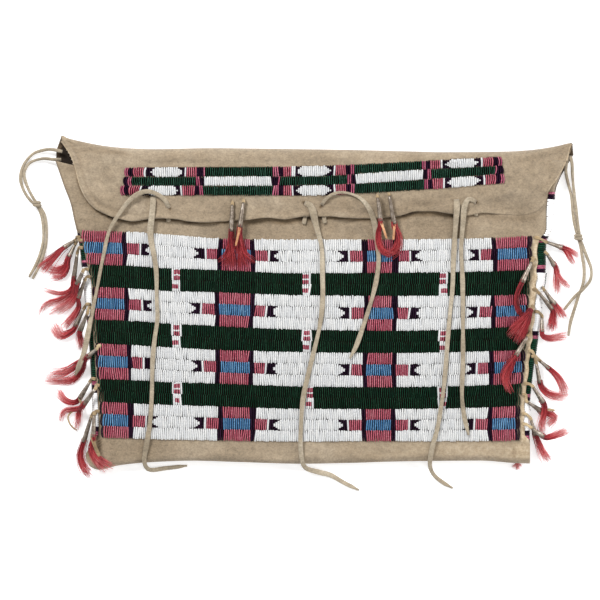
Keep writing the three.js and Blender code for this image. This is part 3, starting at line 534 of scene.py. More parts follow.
def under_beads(o):
    """Gives the faces that lie wholly under beads the near-black hide that paints shade into the gaps between bead
    rows.
    """
    me = o.data
    low = np.empty(len(me.vertices))
    me.attributes["shade"].data.foreach_get("value", low)
    corners = np.empty(len(me.loops), int)
    me.loops.foreach_get("vertex_index", corners)
    me.materials.append(bed_m)
    me.polygons.foreach_set("material_index", (low[corners].reshape(-1, 4).max(1) < 0.03).astype(int))


def bead_materials(name, colours, rough, spec):
    """Opaque glass beads in a few close shades, as dye lots and wear leave them; the last shade of each kind is darker,
    painted shade for the flanks of the rows.
    """
    made = []
    for i, c in enumerate(colours):
        m, nt, p = new_material(f"bead_{name}_{i}", rough + 0.05 * (i % 3), srgb(*c), spec=spec)
        bump(nt, p, noise(nt, nt.nodes.new("ShaderNodeTexCoord").outputs["Object"], 1500, 2), 0.18, 0.0003)
        made.append(m)
    return made


BEAD_KINDS = ["white", "red", "rose", "blue", "green", "navy", "green_painted_light", "white_painted_light"]
# Four shades of each kind vary at random; the fifth, darker one is painted shade for the flanks of each bead row. The
# lighter green of the flap lanes and the lighter white of the gussets are lit copies of green and white: painted light.
BEAD_SHADES = {
    "white": [(219, 219, 218), (213, 214, 215), (226, 225, 223), (204, 205, 207), (208, 209, 209)],
    "red": [(178, 86, 102), (166, 72, 90), (196, 114, 126), (184, 98, 111), (126, 50, 66)],
    "rose": [(174, 84, 110), (160, 68, 96), (196, 112, 134), (182, 96, 118), (108, 40, 64)],
    "blue": [(78, 128, 168), (64, 112, 154), (106, 152, 188), (86, 136, 174), (44, 84, 124)],
    "green": [(27, 64, 45), (19, 54, 37), (37, 76, 56), (24, 59, 44), (0, 4, 2)],
    "green_painted_light": [(40, 80, 62), (28, 64, 48), (57, 98, 80), (36, 73, 57), (1, 8, 4)],
    "white_painted_light": [(253, 253, 252), (249, 249, 250), (255, 255, 254), (246, 246, 247), (244, 244, 245)],
    "navy": [(38, 19, 38), (29, 14, 30), (50, 28, 50), (38, 20, 39), (14, 7, 17)],
}
SNUG = np.array([1.15, 0.95, 0.95, 0.95, 0.65, 0.95, 0.68, 1.1])
BEAD_SPEC = {"white": 0.4, "red": 0.35, "rose": 0.3, "blue": 0.35, "green": 0.03, "navy": 0.03, "green_painted_light": 0.05, "white_painted_light": 0.4}
bead_m = [m for k in BEAD_KINDS for m in bead_materials(k, BEAD_SHADES[k], 0.3, BEAD_SPEC[k])]
WHITE, RED, ROSE, BLUE, GREEN, NAVY, GREEN_PAINTED_LIGHT, WHITE_PAINTED_LIGHT = range(8)


def hair_materials():
    made = []
    for i, c in enumerate([(108, 16, 25), (144, 28, 37), (176, 46, 53), (198, 66, 71), (213, 92, 95), (226, 128, 128), (238, 172, 170)]):
        m, nt, p = new_material(f"horsehair_{i}", 0.5, srgb(*c), spec=0.35)
        p.inputs["Sheen Weight"].default_value = 0.2
        bump(nt, p, noise(nt, nt.nodes.new("ShaderNodeTexCoord").outputs["Object"], 1800, 2), 0.2, 0.0002)
        made.append(m)
    return made


hair_m = hair_materials()


def tin_material():
    m, nt, p = new_material("tin", 0.42, metal=0.75)
    xyz = nt.nodes.new("ShaderNodeTexCoord").outputs["Object"]
    spots = noise(nt, xyz, 420, 5, 0.65)
    colour = ramp(nt, noise(nt, xyz, 150, 5, 0.7), [(0.3, srgb(104, 91, 79)), (0.5, srgb(146, 134, 121)), (0.74, srgb(200, 192, 182))])
    colour = mix(nt, "MULTIPLY", 0.5, colour, ramp(nt, spots, [(0.34, srgb(120, 96, 76)), (0.5, grey(1.0))]))
    nt.links.new(colour, p.inputs["Base Color"])
    r = nt.nodes.new("ShaderNodeMapRange")
    r.inputs["To Min"].default_value, r.inputs["To Max"].default_value = 0.62, 0.32
    nt.links.new(spots, r.inputs["Value"])
    nt.links.new(r.outputs["Result"], p.inputs["Roughness"])
    bump(nt, p, noise(nt, xyz, 260, 3), 0.25, 0.0004)
    return m


tin_m = tin_material()

# ---- body hide ---------------------------------------------------------------------------------
COLS, FRONT_ROWS, TURN_ROWS, BACK_ROWS, LIP_ROWS = 190, 120, 9, 34, 8


def body_grid():
    u = np.linspace(0, 1, COLS)
    rows = []
    for k in np.linspace(0, 1, FRONT_ROWS):
        x = lerp(80, 535, u)
        for _ in range(8):
            y = lerp(MOUTH(x), BOTTOM(x) - 0.007 / U, k)
            x = lerp(FRONT_L(y), front_edge(y), u)
        rows.append(np.stack([X(x), Y(y), front_z(x, y) + np.where(on_panel(x, y, 2.4), PANEL_BED, 0)], -1))
    foot = x
    heel = lerp(float(BACK_L(464)), float(BACK_R(464)), u)
    for k in np.linspace(0, 1, TURN_ROWS + 1)[1:]:
        a = math.pi / 2 - math.pi * k
        x = lerp(foot, heel, k)
        rows.append(np.stack([X(x), Y(BOTTOM(foot)) + 0.007 - 0.007 * math.cos(a), np.full(COLS, 0.007 + 0.007 * math.sin(a))], -1))
    for k in np.linspace(0, 1, BACK_ROWS + 1)[1:]:
        x = heel
        for _ in range(8):
            y = lerp(BOTTOM(foot) - 0.007 / U, TOP(x) + fold_r(x) / U, k)
            x = lerp(BACK_L(y), back_edge(y), u)
        wave = 0.35 + 0.35 * front_long(X(x) + 0.3, Y(y)) + 0.12 * front_mid(X(x), Y(y) + 0.2)
        rows.append(np.stack([X(x), Y(y), np.maximum(wave, 0) * MM * math.sin(math.pi * k)], -1))
    for k in np.linspace(0, 1, LIP_ROWS + 1)[1:]:
        a = -math.pi / 2 + math.pi / 2 * k
        for _ in range(8):
            r = fold_r(x)
            y = TOP(x) + (r - r * math.cos(a)) / U
            x = lerp(BACK_L(y), BACK_R(y), u)
        rows.append(np.stack([X(x), Y(y), r + r * math.sin(a)], -1))
    return np.stack(rows)


grid = body_grid()
px, py = grid[:, :, 0] / U + CX, CY - grid[:, :, 1] / U
outer = np.ones(px.shape)
row = np.arange(px.shape[0])[:, None]
on_front = row < FRONT_ROWS
covered = on_front & on_panel(px, py, 2.4)
# near black under the front's beads: painted shade in the gaps between bead rows
outer = np.where(covered, 0.02, outer)
edge = px - FRONT_L(py)
# painted shade along the front's left edge, where it turns to the gusset
outer = np.where(on_front & ~covered, outer * (0.74 + 0.26 * smooth(0, 2.2, edge)), outer)
# painted shade in a crease at the bottom-left corner
crease = np.exp(-(((px - 98.5 - 0.12 * (py - 441)) / 1.5) ** 2)) * smooth(436, 441, py) * smooth(457, 448, py)
outer = np.where(on_front, outer * (1 - 0.5 * crease), outer)
warm = np.where(on_front, np.maximum(smooth(0.9, 2.9, px - PANEL_R(py)) * smooth(233, 241, py) * smooth(446, 438, py), (0.3 * smooth(300, 480, px) + 0.25 * smooth(508, 519, px)) * smooth(440, 446, py)), 0.0)
# painted shade in a crease at the bottom-right corner
outer = np.where(on_front, outer * (1 - 0.22 * np.exp(-(((px - 514.5) / 1.3) ** 2)) * smooth(443, 448, py)), outer)
# painted shadow under the flap's lower edge, fading towards the right end
past = py - FLAP_LOW(px)
close = 0.34 + 0.3 * smooth(90, 105, px) * smooth(215, 190, px) + 0.27 * smooth(285, 305, px) * smooth(430, 410, px)
far = smooth(506, 468, px)
under_flap = np.exp(-(((past - 0.6) / np.where(past < 0.6, 3.0, 1.5)) ** 2))
outer = np.where(on_front & ~covered, outer * (1 - far * close * under_flap) * (1 - 0.08 * far * smooth(7, 0, np.abs(past))), outer)
# painted shade on the strip between the flap's edge and the bead panel
outer = np.where(on_front & ~covered, outer * (1 - 0.12 * smooth(216, 224, py) * smooth(242, 238, py) * smooth(150, 240, px) * smooth(490, 460, px)), outer)
# painted shadow reaching further below the flap's edge along three stretches
deep = 0.36 * smooth(235, 252, px) * smooth(322, 305, px) + 0.38 * smooth(392, 410, px) * smooth(472, 455, px)
broad = 0.18 * smooth(470, 488, px) * smooth(552, 535, px) * np.exp(-(((past - 3.8) / 3.4) ** 2))
corner = 0.11 * smooth(216, 219, py) * smooth(236, 232, py) * smooth(150, 125, px)
outer = np.where(on_front & ~covered, outer * (1 - deep * np.exp(-(((past - 3.0) / 2.3) ** 2))) * (1 - broad) * (1 - corner), outer)
outer = np.where(on_front & (py > 436), outer * (1 - 0.11 * smooth(190, 95, px)), outer)
# painted highlight along the rounded bottom fold
low_edge = BOTTOM(px) - py
outer = np.where(on_front, outer * (1 + 0.07 * smooth(4, 0, np.abs(low_edge - 4))), outer)
# painted shade on the inner faces, darkest inside the mouth at the top-left corner and lighter near its outline
inner = np.where((px < 100) & (row > FRONT_ROWS + TURN_ROWS), 0.1 + 0.5 * smooth(62.5, 57.5, px) * smooth(161, 151, py), 0.4)
hide_bag = sheet_mesh("hide_bag", grid[::-1], HIDE, [hide_m], {"shade": (outer[::-1], inner[::-1]), "warm": (warm[::-1], 0 * warm)}, floor=0.0)
under_beads(hide_bag)
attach(hide_bag, "bag")
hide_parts("body_hide")

# ---- flap --------------------------------------------------------------------------------------
CURL_ROWS, FLAP_ROWS = 9, 50
xs = np.unique(np.concatenate([np.linspace(61.3, 66, 12), np.linspace(66, 80, 46), np.linspace(80, 120, 44), np.linspace(120, 505, 214), np.linspace(505, 540, 30), np.linspace(540, 558, 40), np.linspace(558, 571.7, 30)]))


def flap_grid():
    rows = []
    r = fold_r(xs)
    top, low = TOP(xs), FLAP_LOW(xs)
    crest = top + r / U
    for k in np.linspace(0, 1, CURL_ROWS + 1):
        a = math.pi / 2 * k
        y = top + (r - r * math.cos(a)) / U
        y = np.minimum(y, top + (low - top) * (0.02 + 0.5 * k))
        z = r + r * math.sin(a)
        rows.append(np.stack([X(xs), Y(y), z], -1))
    start = CY - rows[-1][:, 1] / U
    for k in np.linspace(0, 1, FLAP_ROWS + 1)[1:]:
        y = lerp(start, np.maximum(low, start + 0.4), k)
        rows.append(np.stack([X(xs), Y(y), flap_z(xs, y)], -1))
    return np.stack(rows)


fgrid = flap_grid()
fx, fy = fgrid[:, :, 0] / U + CX, CY - fgrid[:, :, 1] / U
fedge = to_edge(fx, fy)
# painted highlight on the flap's cut edge and rolled left rim, painted shade in the groove behind the rim
fshade = 0.92 + 0.08 * np.maximum(smooth(0, 1.4, fedge), smooth(500, 526, fx) * smooth(552, 545, fx)) - 0.1 * np.exp(-(((fedge - 6.4) / 1.6) ** 2)) * (0.3 + 0.7 * smooth(140, 90, fx)) + 0.06 * np.exp(-(((fedge - 3.0) / 1.6) ** 2)) * smooth(140, 90, fx)
# painted shade in the crease that runs from the left ear
fshade = fshade * (1 - 0.14 * np.exp(-(((fy - (139.5 + 0.27 * (fx - 70))) / 2.6) ** 2)) * smooth(68, 82, fx) * smooth(150, 120, fx))
fshade = fshade * (1 - 0.17 * np.exp(-(((fy - (150.4 + 0.05 * (fx - 75))) / 2.8) ** 2)) * smooth(74, 86, fx) * smooth(140, 112, fx))
# painted shadow of the middle tie's loop on the flap
fshade = fshade * (1 - 0.14 * np.exp(-(((fx - 349) / 15) ** 2) - (((fy - 206) / 8) ** 2)))
fshade = fshade * (1 - (0.05 + 0.05 * smooth(335, 365, fx)) * smooth(194, 202, fy) * smooth(120, 170, fx) * smooth(480, 440, fx))
LANE_ENDS = ((125.8, 501.2), (124.6, 502.6), (121.6, 503.6))
# near black under the flap's bead lanes: painted shade in the gaps between bead rows
for lane, (x0, x1) in enumerate(LANE_ENDS):
    fshade = np.where((fx > x0 + 0.6) & (fx < x1 - 0.6) & (fy > FLAP_LANES[lane](fx) + 0.4) & (fy < FLAP_LANES[lane + 1](fx) - 0.4), 0.02, fshade)
smooth_grid = fgrid.copy()
SLITS = [(169.3, 208, 0.9), (148.6, 196.3, 0.2), (304.6, 203.4, 0.8), (321.8, 206, -0.8), (455.7, 200.5, 0.0), (475.5, 202, 0.6)]
for sx, sy, tilt in SLITS:
    dx, dy = fx - sx, fy - sy
    a, b = dx * math.cos(tilt) + dy * math.sin(tilt), -dx * math.sin(tilt) + dy * math.cos(tilt)
    mark = np.exp(-((a / 3.0) ** 2 + (b / 1.3) ** 2))
    # painted shade in the dimples at the slits where the ties go through
    fshade = fshade * (1 - 0.8 * mark)
    fgrid[:, :, 2] -= 0.7 * MM * mark
for lane, (x0, x1) in enumerate(LANE_ENDS):
    fgrid[:, :, 2] += LANE_BED * ((fx > x0 + 1.2) & (fx < x1 - 1.2) & (fy > FLAP_LANES[lane](fx) + 0.9) & (fy < FLAP_LANES[lane + 1](fx) - 0.9))
# paler line along the flap's cut edge: the hide's pale cut edge with painted highlight on the rim
fwarm = smooth(1.5, 0.3, fedge) * (0.3 + 0.35 * smooth(104, 88, fx) + 0.55 * smooth(546, 552, fx)) * (1 - smooth(488, 512, fx) * smooth(550, 545, fx))
hide_flap = sheet_mesh("hide_flap", fgrid[::-1], HIDE, [hide_m], {"shade": (fshade[::-1], np.full(fshade.shape, 0.84)), "warm": (fwarm[::-1], 0 * fshade)}, plain=smooth_grid[::-1])
under_beads(hide_flap)
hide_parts("flap_hide")
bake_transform(hide_flap)


# ---- beads -------------------------------------------------------------------------------------
def bead_rows(parts, start, end, half, height, kinds, surface, rng, bow=None):
    """Rows of beads, each from a start to an end in the layout: "kinds" gives each bead's colour, one line a row."""
    start, end = np.asarray(start, float), np.asarray(end, float)
    count, n = kinds.shape
    t = np.linspace(0, 1, 2 * n + 1)
    peak = (np.arange(2 * n + 1) % 2).astype(float)
    line = start[:, None] + (end - start)[:, None] * t[None, :, None]
    way = end - start
    way = way / np.linalg.norm(way, axis=1, keepdims=True)
    cross = np.stack([-way[:, 1], way[:, 0]], -1)
    if bow is not None:
        line = line + cross[:, None] * (bow[:, None] * (1 - (2 * t - 1) ** 2)[None])[:, :, None]
    away = np.abs(2 * t - 1)
    snug = SNUG[kinds]
    fill = np.empty((count, 2 * n + 1))
    fill[:, 1::2] = snug
    fill[:, 2:-1:2] = (snug[:, :-1] + snug[:, 1:]) / 2
    fill[:, [0, -1]] = snug[:, [0, -1]]
    wide = (0.8 + 0.2 * peak) * (1 - 0.25 * away**4) * fill * (half[:, None] / U)
    dome = 0.6 + 0.4 * (1 - away**2.6)
    high = height[:, None] * dome * (0.85 + 0.15 * peak)
    high[:, [0, -1]] *= 0.72
    high = high * rng.uniform(0.97, 1.03, high.shape)
    base = surface(line[:, :, 0], line[:, :, 1])
    ring = []
    for s, up in ((-1, 0.0), (-0.5, 1.0), (0.5, 1.0), (1, 0.0)):
        x = line[:, :, 0] + s * wide * cross[:, None, 0]
        y = line[:, :, 1] + s * wide * cross[:, None, 1]
        ring.append(np.stack([X(x), Y(y), base + high * up], -1))
    points = np.stack(ring, 2)
    k = np.arange(count * (2 * n + 1) * 4).reshape(count, 2 * n + 1, 4)
    quads = np.stack([k[:, :-1, :-1], k[:, 1:, :-1], k[:, 1:, 1:], k[:, :-1, 1:]], -1)
    tone = rng.choice(4, count, p=[0.46, 0.18, 0.18, 0.18])
    shade = np.where(rng.random((count, n)) < 0.28, rng.integers(0, 4, (count, n)), tone[:, None])
    # the flanks of each row take the darker fifth shade: painted shade between rows
    flank = kinds * 5 + 4
    slot = np.repeat(np.stack([flank, kinds * 5 + shade, flank], 2), 2, 1)
    flip = np.cross(np.append(cross[0], 0), np.append(way[0], 0))[2] < 0
    quads = quads.reshape(-1, 4)
    parts.add(points.reshape(-1, 3), quads[:, ::-1] if flip else quads, slot=slot.reshape(-1))


PITCH = 2.1


def row_places(x0, x1, pitch, rng):
    n = max(1, int(round((x1 - x0) / pitch)))
    e = np.linspace(x0, x1, n + 1)
    e[1:-1] += rng.normal(0, 0.1, n - 1)
    gap = np.clip(np.abs(rng.normal(0.08, 0.12, n)), 0.02, 0.45)
    return (e[:-1] + e[1:]) / 2, np.maximum((np.diff(e) - gap) / 2, 0.3)


def leaning(x, rng, much=0.42):
    """How far each row leans from upright: neighbours lean alike."""
    k = np.arange(x[0] - 9, x[-1] + 18, 5.0)
    return much * np.interp(x, k, rng.normal(0, 1, len(k))) + rng.normal(0, 0.1, len(x))


BOX_2 = [(217.7, 222, 250.6, 255.4), (214.7, 219, 249.7, 254), (216, 220.4, 250, 254), (218, 223, 251, 255.4)]
BOX_3 = [(362.4, 366.7, 392.5, 397.5), (363.4, 367.6, 392.5, 397), (362.6, 366.8, 391.4, 396), (361.6, 366, 391.4, 396)]
BOX_4 = [(492, 496.5, 527.7, 533), (490.8, 495.3, 525.4, 531), (488.8, 493.2, 521, 528), (487.5, 492, 515.6, 521)]
BOX_1 = [(122.5, 127), (125, 129), (128, 132), (128, 133)]
BARS = [[(172, 181), (302, 311), (439, 448)], [(172, 181), (302, 311), (438.6, 447.6)], [(173, 182), (304, 314), (438, 447)]]


def fork(x, t, edge, side):
    """A fishtail figure beside a box: a red block, a thin white line and a notched navy tail."""
    d = (x - edge) * side
    red, tail = (d >= 0) & (d < 11.6), (d >= 13.7) & (d < 24)
    notch = np.abs(2 * t - 1) < (d - 17.6) / 7.6
    return red, tail & ~notch


def front_kinds(band, lane, x, t):
    """Bead colours on the front: x across the bag, t from 0 to 1 down the lane."""
    x, t = np.broadcast_arrays(x, t)
    if band % 2:
        kinds = np.full(x.shape, GREEN)
        down = (lane + t) / 2
        for a, b in BARS[band // 2]:
            bar = (x > a) & (x < b)
            kinds[bar] = WHITE
            off = x - (a + b) / 2
            for c, h in ((0.16, 0.075), (0.42, 0.1), (0.77, 0.1)):
                kinds[bar & (off > -3.3) & (off < 0) & (np.abs(down - c - 0.006) < h)] = RED
                kinds[bar & (off >= 0) & (off < 3.0) & (np.abs(down - c + 0.01) < h)] = RED
        return kinds
    b = band // 2
    kinds = np.full(x.shape, WHITE)
    fill = BLUE if lane == 1 else RED
    left = PANEL_L(lerp(BANDS[band](95), BANDS[band + 1](95), (lane + 0.5) / 3))
    kinds[x < BOX_1[b][0]] = fill
    kinds[x < left + (1.0 if b == 0 else 3.0)] = NAVY
    kinds[(x >= BOX_1[b][0]) & (x < BOX_1[b][1])] = NAVY
    for box in (BOX_2[b], BOX_3[b], BOX_4[b]):
        kinds[(x > box[0]) & (x < box[3])] = NAVY
        kinds[(x > box[1]) & (x < box[2])] = fill
    if lane == 1:
        for edge, side in ((BOX_1[b][1], 1), (BOX_2[b][0], -1), (BOX_2[b][3], 1), (BOX_3[b][0], -1), (BOX_3[b][3], 1), (BOX_4[b][0], -1)):
            red, tail = fork(x, t, edge, side)
            kinds[red], kinds[tail] = RED, NAVY
    return kinds


rng = np.random.default_rng(71)
for band in range(7):
    parts = Parts()
    lanes = 2 if band % 2 else 3
    for lane in range(lanes):
        y0 = float(lerp(BANDS[band](90), BANDS[band + 1](90), (lane + 0.5) / lanes))
        y1 = float(lerp(BANDS[band](525), BANDS[band + 1](525), (lane + 0.5) / lanes))
        x, half = row_places(float(PANEL_L(y0)), float(PANEL_R(y1)), PITCH, rng)
        lean = leaning(x, rng)
        a = np.stack([x + lean, lerp(BANDS[band](x), BANDS[band + 1](x), lane / lanes) + rng.normal(-0.12, 0.24, len(x))], -1)
        b = np.stack([x - lean, lerp(BANDS[band](x), BANDS[band + 1](x), (lane + 1) / lanes) + rng.normal(0.12, 0.24, len(x))], -1)
        t = (np.arange(8) + 0.5) / 8
        kinds = front_kinds(band, lane, x[:, None], t[None, :])
        bead_rows(parts, a, b, half * U, np.full(len(x), BEAD_TOP - PANEL_BED) * rng.uniform(0.88, 1.1, len(x)), kinds, lambda p, q: front_z(p, q) + PANEL_BED - 0.05 * MM, rng, 1.1 * smooth(8, 0, x - PANEL_L(y0)) - 0.9 * smooth(9, 0, PANEL_R(y1) - x))
    o = parts.piece(f"beads_front_{band + 1}", bead_m)
    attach(o, "bag")
    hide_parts("front_beadwork")

GROUP = [("rose", 4.6), ("navy", 4.3), ("red", 10.2), ("white", 2.1), ("hex", 38.2), ("white", 2.1), ("red", 10.8), ("navy", 4.3), ("rose", 4.1)]


def flap_kinds(lane, x, t):
    """Bead colours on the flap's three lanes."""
    x, t = np.broadcast_arrays(x, t)
    # the flap lanes use a lighter copy of the green beads: painted light
    kinds = np.full(x.shape, GREEN_PAINTED_LIGHT)
    if lane == 1:
        for a, b, k in ((0, 129.6, NAVY), (129.6, 133.4, ROSE), (195.6, 200, ROSE), (200, 204.2, NAVY), (204.2, 272, WHITE), (272, 277, NAVY), (277, 280.7, ROSE), (347.2, 351, ROSE), (351, 354.8, NAVY), (354.8, 422, WHITE), (422, 426.5, NAVY), (426.5, 430.3, ROSE), (494, 497.3, ROSE), (497.3, 510, NAVY)):
            kinds[(x >= a) & (x < b)] = k
        return kinds
    for start, shift in ((125.8, -4), (273.5, 0), (421.2, 2)):
        at = start + (shift if lane == 2 else 0)
        for name, wide in GROUP:
            here = (x >= at) & (x < at + wide)
            if name == "hex":
                inset, taper = (4.0, 5.0) if start < 130 else (2.0, 7.5)
                figure = np.abs(2 * t - 1) < 1.12 * np.minimum((x - at - inset) / taper, (at + wide - 2.0 - x) / 7.5)
                kinds[here] = NAVY
                kinds[here & figure] = WHITE
            else:
                kinds[here] = {"rose": ROSE, "navy": NAVY, "red": RED, "white": WHITE}[name]
            at += wide
        if start == 125.8:
            kinds[x < 126] = ROSE
    return kinds


def flap_surface(x, y):
    r = fold_r(x)
    crest = TOP(x) + r / U
    over = np.clip((crest - y) * U, 0, r * 0.98)
    return np.where(y < crest, r + np.sqrt(r**2 - over**2), flap_z(x, np.maximum(y, crest))) + LANE_BED + 0.1 * MM


parts = Parts()
for lane, (x0, x1) in enumerate(LANE_ENDS):
    x, half = row_places(x0, x1, PITCH, rng)
    lean = leaning(x, rng, 0.36)
    a = np.stack([x + lean, FLAP_LANES[lane](x) + rng.normal(-0.1, 0.24, len(x))], -1)
    b = np.stack([x - lean, FLAP_LANES[lane + 1](x) + rng.normal(0.1, 0.24, len(x))], -1)
    t = (np.arange(7) + 0.5) / 7
    curl = 1.5 * smooth(168, 124, x) - 1.0 * smooth(470, 503, x)
    bead_rows(parts, a, b, half * U, np.full(len(x), LANE_TOP - LANE_BED) * rng.uniform(0.88, 1.1, len(x)), flap_kinds(lane, x[:, None], t[None, :]), flap_surface, rng, curl)
flap_beads = parts.piece("beads_flap", bead_m)
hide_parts("flap_beadwork")
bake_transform(flap_beads)

# ---- gussets -----------------------------------------------------------------------------------
def gusset_point(side, y, k):
    """A point of the gusset's outer face: k is 0 at the front seam and 1 at the back seam."""
    f, b = (FRONT_R, BACK_R) if side > 0 else (FRONT_L, BACK_L)
    a, c = f(y) - side * 0.6, b(y) - side * 0.7
    bow = 0.9 * np.sin(np.pi * k)
    return lerp(a, c, k) + side * bow, gusset_z(k)


def gusset_hide(side, name, node_name):
    ys = np.concatenate([np.linspace(163, 440, 140), np.linspace(442, 462.4, 26)])
    ks = np.linspace(0, 1, 9)
    rows = []
    for y in ys:
        x, z = gusset_point(side, y, ks)
        if y > 438:
            rise = np.clip((BOTTOM(x) - y) * U - 0.0012, 0.0002, 0.007)
            half = np.sqrt(0.007**2 - (0.007 - rise) ** 2)
            turn = smooth(438, 446, y)
            z = lerp(z, np.clip(lerp(0.0072 + half, 0.0068 - half, ks), 1.6 * MM, 12.8 * MM), turn)
            x = x - side * 0.7 * turn
        rows.append(np.stack([X(x), np.full(len(ks), float(Y(y))), z], -1))
    g = np.stack(rows)
    if side > 0:
        g = g[::-1]
    shade = np.full(g.shape[:2], 0.72) + 0.2 * (g[:, :, 1] > Y(191))
    o = sheet_mesh(name, g, 1.6 * MM, [hide_m], {"shade": (shade, shade * 0.6), "warm": (0 * shade, 0 * shade)}, floor=0.0)
    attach(o, "bag")
    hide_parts(node_name)
    return o


gusset_hide(1, "hide_gusset_right", "gusset_right")
gusset_hide(-1, "hide_gusset_left", "gusset_left")


def side_lane(parts, side, segments, k0, k1, beads):
    """Bead rows that run across a gusset between two shares of its width, coloured by height."""
    for y0, y1, kind in segments:
        n = max(1, int(round((y1 - y0) / PITCH)))
        e = np.linspace(y0, y1, n + 1)
        y = (e[:-1] + e[1:]) / 2
        tilt = rng.normal(0, 0.15, n)
        ka, kb = (f(y) if callable(f) else np.full(n, f) for f in (k0, k1))
        xa, _ = gusset_point(side, y, ka)
        xb, _ = gusset_point(side, y, kb)
        half = np.full(n, (y1 - y0) / n / 2 * (1.2 if kind == WHITE_PAINTED_LIGHT else 1.14) / SNUG[kind]) * rng.uniform(0.97, 1.03, n)

        def surface(px, py):
            f, b = (FRONT_R, BACK_R) if side > 0 else (FRONT_L, BACK_L)
            k = np.clip((px - f(py)) / (b(py) - f(py)), 0, 1)
            return gusset_z(k) + 0.7 * MM

        kinds = np.full((n, beads), kind)
        bead_rows(parts, np.stack([xa, y + tilt], -1), np.stack([xb, y - tilt], -1), half * U, np.full(n, 0.36 * MM), kinds, surface, rng)


parts = Parts()
# the gusset whites use a lighter copy of the white beads: painted light
side_lane(parts, 1, [(191.8, 194.4, ROSE), (194.4, 199.3, NAVY), (199.3, 236, WHITE_PAINTED_LIGHT)], 0.1, 1.1, 6)
inner = [(235, 238.6, NAVY), (238.6, 242.6, ROSE), (242.6, 265, GREEN), (265, 268.8, ROSE), (268.8, 272.8, NAVY), (272.8, 331, WHITE_PAINTED_LIGHT), (331, 335.4, NAVY), (335.4, 338.8, ROSE), (338.8, 394, GREEN), (394, 397.4, ROSE), (397.4, 401, NAVY), (401, 430.6, WHITE_PAINTED_LIGHT), (430.6, 435.4, NAVY), (435.4, 439.4, ROSE)]
side_lane(parts, 1, inner, 0.04, 1.1, 6)
side_lane(parts, 1, [(273, 292, GREEN), (302, 304, GREEN), (306.6, 308.6, NAVY), (311.4, 313.4, GREEN), (315, 316.6, NAVY), (404, 406, GREEN), (409, 411, NAVY), (426, 428, GREEN)], 1.1, 1.24, 1)
o = parts.piece("beads_gusset_right", bead_m)
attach(o, "bag")
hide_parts("gusset_beadwork_right")

parts = Parts()
left_lane = [(233, 239, NAVY), (239, 243, ROSE), (243, 260, GREEN), (260, 263, ROSE), (263, 267, NAVY), (267, 316, WHITE_PAINTED_LIGHT), (316, 320, NAVY), (320, 323.5, ROSE), (323.5, 381, GREEN), (381, 385, ROSE), (385, 393, NAVY), (393, 426.5, WHITE_PAINTED_LIGHT), (426.5, 431.2, NAVY), (431.2, 435.6, ROSE)]
side_lane(parts, -1, left_lane, 0.04, 1.0, 5)
o = parts.piece("beads_gusset_left", bead_m)
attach(o, "bag")
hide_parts("gusset_beadwork_left")


# ---- thongs that lie on the bag ----------------------------------------------------------------
def laid(layout, step, half, thick, lift=None, clear=0.15 * MM, rounds=40, floor_free=None):
    """A line over the layout that rests on what is under it, in metres."""
    plan = spline(layout, step / U)
    way = np.gradient(plan, axis=0)
    way /= np.linalg.norm(way, axis=1, keepdims=True)
    z = np.zeros(len(plan))
    for a in (-2.4, -1.2, 0, 1.2, 2.4):
        for b in (-half, 0, half):
            z = np.maximum(z, ground(plan[:, 0] + way[:, 0] * a - way[:, 1] * b / U, plan[:, 1] + way[:, 1] * a + way[:, 0] * b / U))
    least = z + thick / 2 + clear
    if lift is not None:
        least = least + lift(plan[:, 0], plan[:, 1])
    z = least.copy()
    for _ in range(rounds):
        z[1:-1] = np.maximum(least[1:-1], (z[:-2] + 2 * z[1:-1] + z[2:]) / 4)
    return np.stack([X(plan[:, 0]), Y(plan[:, 1]), z], -1)


def strap_section(width, thick):
    w, h = width / 2, thick / 2
    k = h * 0.6
    return [(w - k * 0.3, -h + k * 0.5), (w, 0), (w - k * 0.3, h - k * 0.5), (w - k * 1.4, h), (0, h * 1.04), (-w + k * 1.4, h), (-w + k * 0.3, h - k * 0.5), (-w, 0), (-w + k * 0.3, -h + k * 0.5), (-w + k * 1.4, -h), (0, -h), (w - k * 1.4, -h)]


